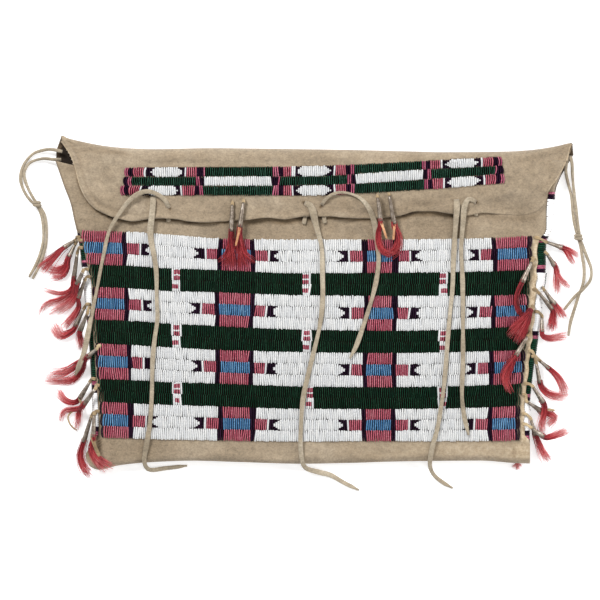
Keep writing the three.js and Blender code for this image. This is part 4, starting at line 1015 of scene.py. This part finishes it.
TIE_W, TIE_T = 5.0 * MM, 1.8 * MM
TIES = {
    "tie_left": (
        [[169.3, 208, 0.95], [163.6, 198.6, 0.95], [151, 192, 0.95], [141.6, 192.8, 0.95], [131, 199.5, 0.95], [119.6, 214, 0.9], [110, 230, 0.8], [103, 259, 0.7], [97, 290, 0.74], [92, 314, 0.85], [84, 353, 1.32], [79, 366, 1.2], [74.6, 376, 0.9]],
        [[153.4, 196, 1.36], [153.4, 202, 1.4], [152.8, 210, 1.45], [151.6, 221, 1.36], [150.6, 231, 1.26], [151.8, 243.6, 1.16], [154.4, 256, 1.06], [156.6, 272, 0.96], [157, 299, 0.92], [157.8, 318, 0.92], [155, 339, 0.92], [153, 360, 0.95], [152, 395, 0.95], [150, 423.5, 1.0], [146.4, 446.5, 1.0], [144.4, 462, 1.0], [148.3, 469.4, 1.0], [166.5, 468.4, 1.0], [187, 466, 1.0]],
    ),
    "tie_middle": (
        [[304.8, 203, 1.0], [309.6, 205.4, 1.35], [312.6, 210.4, 1.6], [314.2, 217.5, 1.45], [316.6, 227.5, 1.2], [319.4, 237.5, 1.15], [321.6, 247, 1.05], [322.4, 272, 1.0], [322.6, 299, 1.0], [320, 324, 1.0], [313.4, 353, 1.0], [307.7, 376, 1.0], [303, 399, 1.0], [301, 425, 1.0], [301, 452, 1.0], [304.8, 467, 1.0], [319, 472.5, 1.0], [330.6, 475.5, 1.0], [344, 483, 1.0], [359, 490.5, 1.0]],
        [[321.8, 205, 0.8], [325.7, 199.2, 0.68], [333, 194.2, 0.6], [341, 192.6, 0.6], [351, 194.2, 0.62], [360.4, 198.8, 0.74], [367.6, 206.6, 1.0], [371.4, 214, 1.15], [374.4, 224, 1.1], [376.4, 242, 0.95], [378.4, 259, 0.95], [376.5, 278, 0.95], [372.7, 295, 0.95], [367, 314, 0.95], [361, 332, 0.95], [355.5, 347, 0.95], [349.7, 358.4, 0.95]],
    ),
    "tie_right": (
        [[456.2, 199.6, 1.3], [456.6, 206, 1.4], [455.9, 218, 1.28], [454.6, 236, 1.1], [453, 262.6, 1.0], [452, 290, 0.95], [450, 309, 0.95], [447, 343, 0.95], [445, 372, 0.95], [441.6, 402, 0.95], [437, 429, 0.95], [432, 448, 0.95], [430, 465.6, 0.95], [434, 475, 0.95], [443.5, 483, 0.95], [453, 488.5, 0.95]],
        [[475.5, 202, 0.9], [468.4, 199.2, 1.1], [464.4, 206, 1.2], [462.8, 222, 1.05], [460.9, 248, 0.95], [462.2, 281, 0.95], [462.6, 337, 0.95], [462.6, 366, 0.95], [461.7, 395, 0.95], [463.6, 414, 0.95], [468.4, 435, 0.95]],
    ),
}


def over_tassels(x, y):
    rise = np.where(y < 358, 5.0 * smooth(322, 342, y) + 3.5 * smooth(340, 352, y), lerp(14, 3, smooth(359, 376, y)))
    return (1.6 * (y < 212) + rise) * MM


def length_of(p):
    return float(np.linalg.norm(np.diff(p, axis=0), axis=1).sum())


for name, ends in TIES.items():
    for k, course in enumerate(ends):
        marks = np.array(course)
        p = laid(marks[:, :2], 3 * MM, TIE_W / 2, TIE_T, over_tassels if (name, k) == ("tie_left", 0) else None)
        top = float(flap_z(np.array(course[0][0]), np.array(course[0][1])))
        p[0, 2] = top - 0.6 * MM
        p[1, 2] = min(p[1, 2], top + 1.0 * MM)
        n = len(p)
        s = np.linspace(0, 1, n)
        r = np.random.default_rng(len(name) * 7 + k)
        wide = 1 + 0.09 * np.sin(s * 21 + r.uniform(0, 6)) + 0.06 * np.sin(s * 47 + r.uniform(0, 6))
        nearest = [int(np.argmin((p[:, 0] - X(x)) ** 2 + (p[:, 1] - Y(y)) ** 2)) for x, y, _ in course]
        wide *= np.interp(np.arange(n), np.maximum.accumulate(nearest), marks[:, 2])
        wide *= 0.42 + 0.58 * smooth(0, 0.011, (1 - s) * length_of(p))
        roll = 0.25 * np.sin(s * 13 + r.uniform(0, 6)) * smooth(0, 0.1, s)
        pts, quads, tris = swept(p, strap_section(TIE_W, TIE_T), np.stack([wide, np.ones(n)], -1), roll)
        parts = Parts()
        parts.add(pts, quads, tris)
        o = parts.piece(f"strap_{name}_{'ab'[k]}", [thong_m])
        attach(o, "flap")
        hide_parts(name)

for k, (sx, sy, node_name) in enumerate(((304.9, 218.4, "tie_middle"), (323.9, 217.6, "tie_middle"), (168.4, 219.2, "tie_left"), (475.8, 213.6, "tie_right"))):
    way = np.array([(-1.2, 1.0, 0.5, -0.6)[k], (5.8, 5.8, 2.8, 2.2)[k]])
    plan = np.array([sx, sy])[None] + way[None] * np.linspace(-1.0, 1, 9)[:, None]
    z = front_z(plan[:, 0], plan[:, 1]) + 1.5 * MM
    pts, quads, tris = swept(np.stack([X(plan[:, 0]), Y(plan[:, 1]), z], -1), strap_section(4.6 * MM, 1.6 * MM), np.stack([np.where(np.arange(9) == 8, 0.7, 1.0), np.ones(9)], -1))
    parts = Parts()
    parts.add(pts, quads, tris)
    o = parts.piece(f"strap_{node_name}_inner_{k}", [thong_m])
    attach(o, "flap")
    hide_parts(node_name)

# ---- hangers -----------------------------------------------------------------------------------
HANGERS = {
    "hanger_left": (
        [
            [[62, 151.5], [55, 149.8], [48, 149.2], [40, 150.6], [32.5, 153.6], [23, 165], [20, 178], [23, 190], [30.6, 201], [37, 206], [41, 215], [43, 230], [42, 245], [36.4, 262.6], [28.5, 277]],
            [[61, 159.5], [53, 159.3], [42, 158.4], [28.7, 163], [23.5, 172.7], [25, 182], [32.5, 197.6], [37.6, 205], [43.5, 214], [46, 230], [45, 246], [39.5, 264], [32, 279]],
        ],
        (36.4, 204),
    ),
    "hanger_right": (
        [
            [[568.5, 155], [566.8, 163], [566.2, 171], [568.4, 182], [572, 196], [573.6, 213], [577, 232], [579.5, 239], [582.6, 255], [584.7, 269], [584, 282], [579.8, 294], [575, 309], [570.7, 324], [569, 336]],
            [[570.5, 156], [572.4, 164], [573, 175.6], [574.5, 192], [577, 213], [579.5, 232], [580.6, 239], [587.5, 257], [591.8, 269], [591, 279.6], [584.7, 288], [574, 298], [564.4, 310]],
        ],
        (578.8, 237.4),
    ),
}
HANGER_D = 3.3 * MM
for name, (strands, knot) in HANGERS.items():
    for k, course in enumerate(strands):
        plan = spline(course, 3 * MM / U)
        n = len(plan)
        dist = np.concatenate([[0], np.cumsum(np.linalg.norm(np.diff(plan, axis=0), axis=1))]) * U
        z = HANGER_D / 2 * 0.75 + 0.2 * MM + (6.5 * MM if name == "hanger_left" else 5 * MM) * (1 - smooth(0, 0.034, dist))
        at = np.linalg.norm(plan - np.array(knot), axis=1)
        z = z + 1.6 * MM * np.exp(-((at / 7) ** 2)) + k * 1.1 * MM * np.exp(-((at / 9) ** 2))
        if k == 1:
            for i in range(n):
                other = spline(strands[0], 3 * MM / U)
                d = np.linalg.norm(other - plan[i], axis=1).min()
                if at[i] > 12:
                    z[i] += 2.4 * MM * math.exp(-((d / 2.6) ** 2))
        for _ in range(6):
            z[1:-1] = (z[:-2] + 2 * z[1:-1] + z[2:]) / 4
        p = np.stack([X(plan[:, 0]), Y(plan[:, 1]), z], -1)
        s = np.linspace(0, 1, n)
        wide = 1 + 0.1 * np.sin(s * 23 + k) + 0.05 * np.sin(s * 57 + 2 * k)
        wide[-1] *= 0.65
        pts, quads, tris = swept(p, strap_section(HANGER_D, HANGER_D * 0.72), np.stack([wide, np.ones(n)], -1), 0.5 * np.sin(s * 9 + k))
        parts = Parts()
        parts.add(pts, quads, tris)
        o = parts.piece(f"strap_{name}_{'ab'[k]}", [thong_m])
        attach(o, "bag")
        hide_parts(name)
    a = np.linspace(0, 2 * math.pi * 1.75, 44)
    way = np.array(strands[0][-5]) - np.array(strands[0][4 if name == "hanger_left" else 3])
    way = way / np.linalg.norm(way)
    cross = np.array([-way[1], way[0]])
    along = np.linspace(-2.6, 2.6, len(a))
    ring = np.array(knot)[None] + way[None] * along[:, None] + cross[None] * (3.0 * np.cos(a))[:, None]
    zk = (3.9 + 2.3 * np.sin(a)) * MM
    pts, quads, tris = swept(np.stack([X(ring[:, 0]), Y(ring[:, 1]), zk], -1), strap_section(HANGER_D * 0.95, HANGER_D * 0.62))
    parts = Parts()
    parts.add(pts, quads, tris)
    core = np.stack([X(knot[0] + way[0] * np.linspace(-3, 3, 9)), Y(knot[1] + way[1] * np.linspace(-3, 3, 9)), np.full(9, 3.8 * MM)], -1)
    pts, quads, tris = swept(core, [(2.1 * MM * math.cos(t), 1.9 * MM * math.sin(t)) for t in np.linspace(0, 2 * math.pi, 12, endpoint=False)], 0.7 + 0.3 * np.sin(np.linspace(0, math.pi, 9)))
    parts.add(pts, quads, tris)
    o = parts.piece(f"knot_{name}", [thong_m])
    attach(o, "bag")
    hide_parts(name)

# ---- tassels: lace, rolled tin cone, horsehair -------------------------------------------------
TASSELS = {
    "flap_1": [
        dict(s=(233.6, 201), c=(232.6, 205, 231.3, 231.8), h=[[[230.4, 245], [226.4, 255.4], [220.4, 261.6]], [[232.6, 246], [234.4, 257], [235.4, 266]], [[232.6, 245], [230, 257], [226, 265]]], fan=(2.4, 3.8, 2.8), deep=1.75),
        dict(s=(243, 199), c=(243.6, 202.6, 240, 227.6), h=[[[241.4, 243], [246.2, 254.6], [253.4, 260]], [[239.2, 244], [238.8, 257], [239.6, 267]], [[241, 244], [243.4, 256], [247.6, 264.6]]], fan=(2.4, 3.8, 2.8), deep=1.75, tip=[[240, 227.6], [238, 237], [235.9, 246]]),
    ],
    "flap_2": [
        dict(s=(378, 194.5), c=(377.5, 198, 380.6, 221.5), h=[[[379.2, 232], [379.6, 243], [383.6, 250.6], [390.6, 253.6]]], z=4.0, fan=3.3, deep=1.5, dense=1.2, tip=[[380.6, 221.5], [383.5, 230], [386.3, 239]]),
        dict(s=(388.5, 193), c=(389, 196, 394, 224.4), h=[[[397.8, 235], [398, 245], [394.4, 252], [387.4, 254.6]]], z=1.2, fan=3.3, deep=1.5, dense=1.2, tip=[[394, 224.4], [393.6, 232], [393, 240]]),
    ],
    "right_1": [dict(s=(537, 237.5), c=(547.5, 242.5, 562, 247.4), h=[[[569, 250], [577.5, 255.5]], [[568, 253], [573.5, 263.5]]], fan=(2.7, 1.8), deep=-0.4)],
    "right_2": [
        dict(s=(544.6, 251.6), hid=1, c=(547.4, 254.4, 554.6, 265), h=[[[556.6, 277], [556.4, 292]], [[559, 276.4], [569, 286]]], fan=(2.8, 2.2), deep=-0.1),
        dict(s=(534, 258), c=(531.4, 262, 521.6, 282.5), h=[[[518.4, 289.4], [516, 298], [516.6, 306.4], [520, 313.4], [525.4, 316.6]]], fan=2.2, deep=2.3),
    ],
    "right_3": [
        dict(s=(535.5, 289.5), c=(539, 293.7, 552, 308.5), h=[[[553.8, 318], [553.4, 330]]], fan=4.4, deep=0.9),
        dict(s=(544, 287.4), hid=1, c=(544.4, 290.6, 554.4, 304), h=[[[558.2, 309.4], [563.6, 317.6]]], z=5.0, fan=3.2),
    ],
    "right_4": [
        dict(s=(534, 306), c=(531, 309, 521.5, 323), h=[[[522, 317], [513.4, 325], [508, 331]], [[522.6, 319.4], [514.6, 329], [509.6, 335.4]], [[524, 321.4], [517.4, 331.4], [513.6, 339.4]], [[526, 322.4], [521.4, 332.4], [518.4, 342.4]], [[528, 322], [524.8, 331], [521.6, 340]]], fan=2.5, over=1, deep=1.2),
        dict(s=(537, 311.5), c=(542, 317.7, 541.9, 332), h=[[[549.6, 338.5], [566, 336]]], fan=3.6, deep=-0.3),
    ],
    "right_5": [dict(s=(530.5, 332), c=(527, 336.7, 515.3, 355.6), h=[[[507.5, 365], [502.6, 377], [506, 389.5]], [[511, 367], [506.4, 380], [510, 390.5]]], fan=1.9, deep=1.2)],
    "right_6": [
        dict(s=(531.5, 351), c=(536.5, 364, 540, 383), h=[[[547, 393], [556, 396.4], [566.5, 396]]], fan=3.4, deep=-0.3),
        dict(s=(534.5, 356), c=(541, 361.5, 549.6, 368.8), h=[[[558, 377], [563, 386], [565.4, 394]]], z=3.0, fan=3.6, deep=-0.3),
    ],
    "right_7": [
        dict(s=(527.5, 383.5), c=(532.8, 387, 543, 402), h=[[[544.5, 412], [542.4, 422], [541.6, 432]]], z=7.0, fan=3.0, deep=-0.4),
        dict(s=(525.5, 394.5), c=(527.5, 402, 541, 411), h=[[[549, 414], [555, 417], [549, 424]]], fan=2.6, deep=-0.4, tip=[[541, 411], [548, 409.6], [555, 410.4]]),
    ],
    "right_8": [
        dict(s=(524.5, 413.5), c=(531, 420, 535.5, 435), h=[[[538.5, 443], [542, 452], [547.4, 460]]], fan=3.4, deep=0.1),
        dict(s=(525.5, 424), c=(531.5, 428, 543, 436.5), h=[[[554, 436.5], [567, 431.4]]], z=9.0, fan=3.2, deep=-0.6),
    ],
    "left_1": [
        dict(s=(77.5, 237), c=(74, 240.5, 63.5, 247.5), h=[[[54, 255.5], [40, 267.5]]], fan=5.5, deep=0.9, dense=1.4),
        dict(s=(79.5, 240), c=(74.5, 244.5, 68.5, 257), h=[[[64, 266], [56, 270], [49, 268.5]], [[66, 268], [60, 275], [51, 275]]], fan=4.0, deep=0.6, dense=1.3),
    ],
    "left_2": [dict(s=(80, 247.5), c=(77, 254, 73.4, 278.4), h=[[[71, 289.4], [60, 294], [45.6, 290.4]], [[71.4, 294], [58, 300.6], [46, 304.6], [41.8, 312.6]], [[71.8, 297], [62, 305.6], [51, 312.6]]], fan=(2.0, 3.0, 3.2), deep=-0.2, dense=1.3)],
    "left_3": [
        dict(s=(86, 269), c=(83.2, 272, 77.6, 284), h=[[[75, 295], [68, 304], [58, 311]]], z=8.0, fan=4.0, deep=-0.3, dense=1.15),
        dict(s=(87.5, 276.5), c=(85, 280.5, 78.3, 297.4), h=[[[78, 306], [73, 315], [64, 325]]], fan=4.4, deep=0.5, dense=1.2),
    ],
    "left_4": [
        dict(s=(87.5, 304), c=(83.5, 309, 75, 326.5), h=[[[69, 332.5], [60, 335], [54.5, 325]]], fan=5.2, deep=-0.3, dense=1.2),
        dict(s=(89.5, 307.5), c=(87.5, 314, 80.5, 330), h=[[[79.5, 338], [81.5, 348]]], z=4.5, fan=3.7, dense=1.2),
    ],
    "left_5": [dict(s=(98, 345.5), c=(96.5, 349, 87.5, 357), h=[[[78.5, 363], [66, 371], [49, 374.6]], [[82, 370], [72, 381], [48, 381.5]]], m=15.6, fan=4.5, deep=0.1, dense=1.4)],
    "left_6": [
        dict(s=(92.5, 378.5), c=(89.6, 382, 79.5, 398.4), h=[[[73, 403], [64, 400], [57, 391.5]]], fan=3.0, tip=[[79.5, 398.4], [81.4, 405.5], [79.4, 413]], loop=[(76.5, 409.5, 3.6), (70.8, 412.4, 3.0), (67.6, 417.2, 2.2), (68.8, 423, 1.6), (72.4, 427.8, 1.4), (76.6, 430.4, 1.3)]),
        dict(s=(96.5, 385), c=(95.3, 389, 84.5, 404), h=[[[79.5, 412], [78.6, 420], [77.6, 428]], [[76, 409], [64, 411], [59.4, 421]]], z=4.0, fan=2.8),
    ],
    "left_7": [
        dict(s=(94, 412.5), c=(91, 417.4, 83.5, 442), h=[[[80.4, 455], [83, 466], [90, 475]]], fan=4.0, deep=1.0),
        dict(s=(96.5, 411), c=(94.6, 415, 93.5, 437), h=[[[91, 448.4], [95.2, 459.6], [103.4, 470.4]], [[92.4, 449], [100.6, 459.6], [111, 466.4]]], z=4.0, fan=3.1, deep=0.6, tip=[[93.5, 437], [95.6, 446], [100, 456]], tipw=5.4),
    ],
}
CONE_TOP, CONE_MOUTH, THONG_R, CLEAR = 1.6 * MM, 2.95 * MM, 0.8 * MM, 0.35 * MM


def resting(x, y, r, extra):
    z = 0.0
    for a, b in ((0, 0), (1, 0), (-1, 0), (0, 1), (0, -1)):
        z = max(z, float(ground(x + a * r / U, y + b * r / U)))
    return z + r + CLEAR + extra


def cone_ends(t):
    tx, ty, mx, my = t["c"]
    extra = t.get("z", 0) * MM

    def high(a, b, r):
        return max(resting(lerp(tx, mx, lerp(a, b, k)), lerp(ty, my, lerp(a, b, k)), r, extra) for k in (0, 0.25, 0.5, 0.75, 1))

    top = np.array([X(tx), Y(ty), high(0, 0.35, CONE_TOP)])
    mouth = np.array([X(mx), Y(my), high(0.65, 1, CONE_MOUTH)])
    middle = high(0.35, 0.65, 2.2 * MM) - (top[2] + mouth[2]) / 2
    if middle > 0:
        top[2] += middle
        mouth[2] += middle
    if "m" in t:
        mouth[2] = t["m"] * MM
    return top, mouth


def cone_mesh(parts, top, mouth, seed):
    """A cone rolled from thin tin: its edge laps over itself along one side."""
    r = np.random.default_rng(seed)
    axis = mouth - top
    long = np.linalg.norm(axis)
    axis = axis / long
    side = np.cross(axis, [0, 0, 1.0])
    side /= np.linalg.norm(side)
    up = np.cross(side, axis)
    turn = np.linspace(0, 2 * math.pi * 1.12, 27) + r.uniform(0, 6.28)
    ts = np.linspace(0, 1, 9)
    wall = 0.32 * MM
    out = []
    for inside in (0, 1):
        g = []
        for t in ts:
            k = np.linspace(0, 1, len(turn))
            rad = lerp(CONE_TOP, CONE_MOUTH, t**1.15) * (1 + 0.05 * math.sin(t * 5 + seed)) + 0.28 * MM * (k - 0.5) - inside * wall
            flat = 1 - 0.07 * r.random() * (inside == 0)
            c = top + axis * long * t
            g.append(c[None] + side[None] * (rad * np.cos(turn))[:, None] + up[None] * (rad * np.sin(turn) * flat)[:, None])
        out.append(np.stack(g))
    rows, cols = out[0].shape[:2]
    pts = np.concatenate([out[0].reshape(-1, 3), out[1].reshape(-1, 3)])
    k = np.arange(rows * cols).reshape(rows, cols)
    a = np.stack([k[:-1, :-1], k[1:, :-1], k[1:, 1:], k[:-1, 1:]], -1).reshape(-1, 4)
    ring = np.concatenate([k[0, :-1], k[:-1, -1], k[-1, :0:-1], k[:0:-1, 0]])
    nxt = np.roll(ring, -1)
    edge = np.stack([ring, nxt, nxt + rows * cols, ring + rows * cols], -1)
    quads = np.concatenate([a, a[:, ::-1] + rows * cols, edge])
    parts.add(pts, quads[:, ::-1])


def hair_lock(parts, course, count, root, fan, seed, deep=0.0):
    """Horsehair along a course of points in metres: strands leave the cone together and spread towards their tips."""
    r = np.random.default_rng(seed)
    line = spline(course, 1.5 * MM)
    d = np.linspace(0, 1, len(line))
    n = 9
    rho = np.sqrt(r.random(count))
    ang = r.uniform(0, 2 * math.pi, count)
    clump = r.integers(0, 5, count)
    ca = r.uniform(0, 2 * math.pi, 5)
    ax = 0.75 * rho * np.cos(ang) + 0.45 * np.cos(ca[clump])
    ay = 0.75 * rho * np.sin(ang) + 0.45 * np.sin(ca[clump])
    reach = np.clip(r.normal(0.9, 0.12, count), 0.5, 1.08)
    t, side, up = frames_of(line)
    sec = np.array([(math.cos(q), math.sin(q)) for q in (0.5, 2.6, 4.7)])
    every = np.linspace(0, 1, n)
    for i in range(count):
        s = np.clip(every * reach[i], 0, 1)
        c = np.stack([np.interp(s, d, line[:, j]) for j in range(3)], -1)
        over = np.maximum(every * reach[i] - 1, 0)[:, None] * length_of(line)
        c = c + t[-1][None] * over
        sd = np.stack([np.interp(s, d, side[:, j]) for j in range(3)], -1)
        u = np.stack([np.interp(s, d, up[:, j]) for j in range(3)], -1)
        wide = lerp(root, fan, s**1.5) * (1.0 if r.random() < 0.9 else 1.55)
        wave = 0.35 * MM * np.sin(s * r.uniform(6, 14) + r.uniform(0, 6)) * s
        p = c + sd * ((ax[i] * wide + wave)[:, None]) + u * ((ay[i] * wide * lerp(1, 0.55, s))[:, None])
        low = 0.35 * MM
        p[:, 2] = np.maximum(p[:, 2], low)
        size = r.uniform(0.18, 0.36) * MM * lerp(1, 0.4, every**1.5)
        pts, quads, tris = swept(p, sec, size)
        mid = (every[:-1] + every[1:]) / 2
        # strands on the lower side of a lock take darker tones: painted shade under the upper strands
        tone = 1.0 - 0.5 * max(deep - 1.5, 0) + (5.4 - 2.2 * deep) * mid**1.7 + r.normal(0, 0.85) + r.normal(0, 0.2, n - 1) - 0.9 * (ay[i] < -0.35)
        slot = np.repeat(np.clip(np.round(tone), 0, 6).astype(int), 3)
        parts.add(pts, quads, tris, slot=slot)


def lace_strip(parts, points, width=3.3 * MM, thick=1.1 * MM, slot=0, end=1.0):
    p = spline(points, 1.5 * MM)
    n = len(p)
    s = np.linspace(0, 1, n)
    scale = np.stack([(1 + 0.12 * np.sin(s * 9)) * lerp(1, end, s**1.6), np.ones(n)], -1)
    pts, quads, tris = swept(p, strap_section(width, thick), scale, 0.4 * np.sin(s * 4))
    parts.add(pts, quads, tris, slot=slot)


seed = 400
for name, ends in TASSELS.items():
    body = "flap" if name.startswith("flap") else "bag"
    hair, laces = Parts(), Parts()
    for i, t in enumerate(ends):
        seed += 7
        top, mouth = cone_ends(t)
        along = (mouth - top) / np.linalg.norm(mouth - top)
        cone = Parts()
        cone_mesh(cone, top, mouth, seed)
        tag = f"{name}{'ab'[i] if len(ends) > 1 else ''}"
        o = cone.piece(f"tin_{tag}", [tin_m])
        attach(o, body)
        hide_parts(f"tin_cone_{tag}")
        sx, sy = t["s"]
        seam = np.array([X(sx), Y(sy), resting(sx, sy, THONG_R, 0) - 0.8 * MM])
        inward = 0 if "hid" in t else {"r": -1, "l": 1, "f": 0}[name[0]]
        first = np.array([X(sx + 3.2 * inward), Y(sy + 0.6), resting(sx + 3.2 * inward, sy + 0.6, THONG_R, 0) - 1.6 * MM])
        if inward:
            seam[2] = max(seam[2] + 0.9 * MM, first[2] + 0.6 * MM)
        lace_strip(laces, [first if inward else seam - np.array([0, 0, 1.2 * MM]), seam, top - along * 2.2 * MM, top + along * 1.5 * MM])
        extra = t.get("z", 0) * MM
        for k, course in enumerate(t["h"]):
            points = [mouth - along * 3 * MM, mouth + along * 0.5 * MM, mouth + along * 3.2 * MM]
            points[2][2] = max(points[2][2], 2.2 * MM)
            if "over" in t:
                points = [top + np.array([0, 0, 1.4 * MM])]
            for j, (x, y) in enumerate(course):
                r = (2.6, 2.2, 1.7)[min(j, 2)] * MM
                over = (3.4, 2.4, 0.0)[min(j, 2)] * MM if "over" in t else 0.0
                points.append(np.array([X(x), Y(y), resting(x, y, r, extra * (0.6 if j == 0 else 0.25)) - 0.3 * MM + over]))
            fan = t["fan"][k] if isinstance(t["fan"], tuple) else t["fan"]
            hair_lock(hair, points, int(t.get("dense", 1.0) * 125 / len(t["h"]) ** 0.6), 2.2 * MM, fan * 1.45 * MM, seed * 3 + k, t.get("deep", 0.0))
        if "tip" in t:
            tip = [mouth - along * 4 * MM]
            for j, (x, y) in enumerate(t["tip"]):
                tip.append(np.array([X(x), Y(y), mouth[2] + (1.2, 2.6, 2.6)[j] * MM]))
            lace_strip(laces, tip, t.get("tipw", 3.4) * MM, 0.9 * MM, int(body == "flap"), 0.5)
        if "loop" in t:
            lace_strip(laces, [np.array([X(x), Y(y), z * MM]) for x, y, z in t["loop"]], 2.2 * MM, 1.0 * MM, end=0.6)
    if name == "right_8":
        for k, low in enumerate(([512.6, 467.6], [516.4, 470], [519.4, 469.4], [522, 466.2])):
            hair_lock(hair, [np.array([X(517.8), Y(459.5), 1.8 * MM]), np.array([X(517.6), Y(463.2), 1.8 * MM]), np.array([X(low[0]), Y(low[1]), 1.2 * MM])], 26, 1.2 * MM, 2.0 * MM, 900 + k, -0.9)
    o = hair.piece(f"horsehair_{name}", hair_m)
    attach(o, body)
    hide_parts(f"tassel_{name}")
    o = laces.piece(f"lace_{name}", [lace_m, tip_m] if body == "flap" else [lace_m])
    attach(o, body)

# ---- floor, light, camera ----------------------------------------------------------------------
floor = build("floor", [(-4, -4, -0.0003), (4, -4, -0.0003), (4, 4, -0.0003), (-4, 4, -0.0003)], [(0, 1, 2, 3)], flat=True)
fm, fnt, fp = new_material("floor", 0.9, (0.78, 0.78, 0.78, 1), spec=0.1)
fp.inputs["Emission Color"].default_value = (1, 1, 1, 1)
fp.inputs["Emission Strength"].default_value = 0.5
floor.data.materials.append(fm)

scene = bpy.context.scene
world = bpy.data.worlds.new("studio")
scene.world = world
world.use_nodes = True
world.node_tree.nodes["Background"].inputs["Color"].default_value = (1, 1, 1, 1)
world.node_tree.nodes["Background"].inputs["Strength"].default_value = 0.34


def area(name, place, size, power, aim=(0, 0, 0)):
    d = bpy.data.lights.new(name, "AREA")
    d.shape, d.size, d.energy = "DISK", size, power
    o = bpy.data.objects.new(name, d)
    o.location = place
    v = np.array(aim, float) - np.array(place, float)
    from mathutils import Vector

    o.rotation_euler = Vector(v).to_track_quat("-Z", "Y").to_euler()
    scene.collection.objects.link(o)


area("key", (-2.0, 2.7, 3.05), 1.4, 182)
area("fill", (1.9, -1.6, 3.6), 2.6, 46)
area("side", (3.0, 0.2, 1.5), 1.6, 48)

scene.view_settings.view_transform = "Standard"
cam = bpy.data.cameras.new("camera")
cam.sensor_width = 36
cam.lens = 36 * 4.988 / 0.642
camera = bpy.data.objects.new("camera", cam)
camera.location = (float(X(300)), float(Y(300)), 5.0)
scene.collection.objects.link(camera)
scene.camera = camera
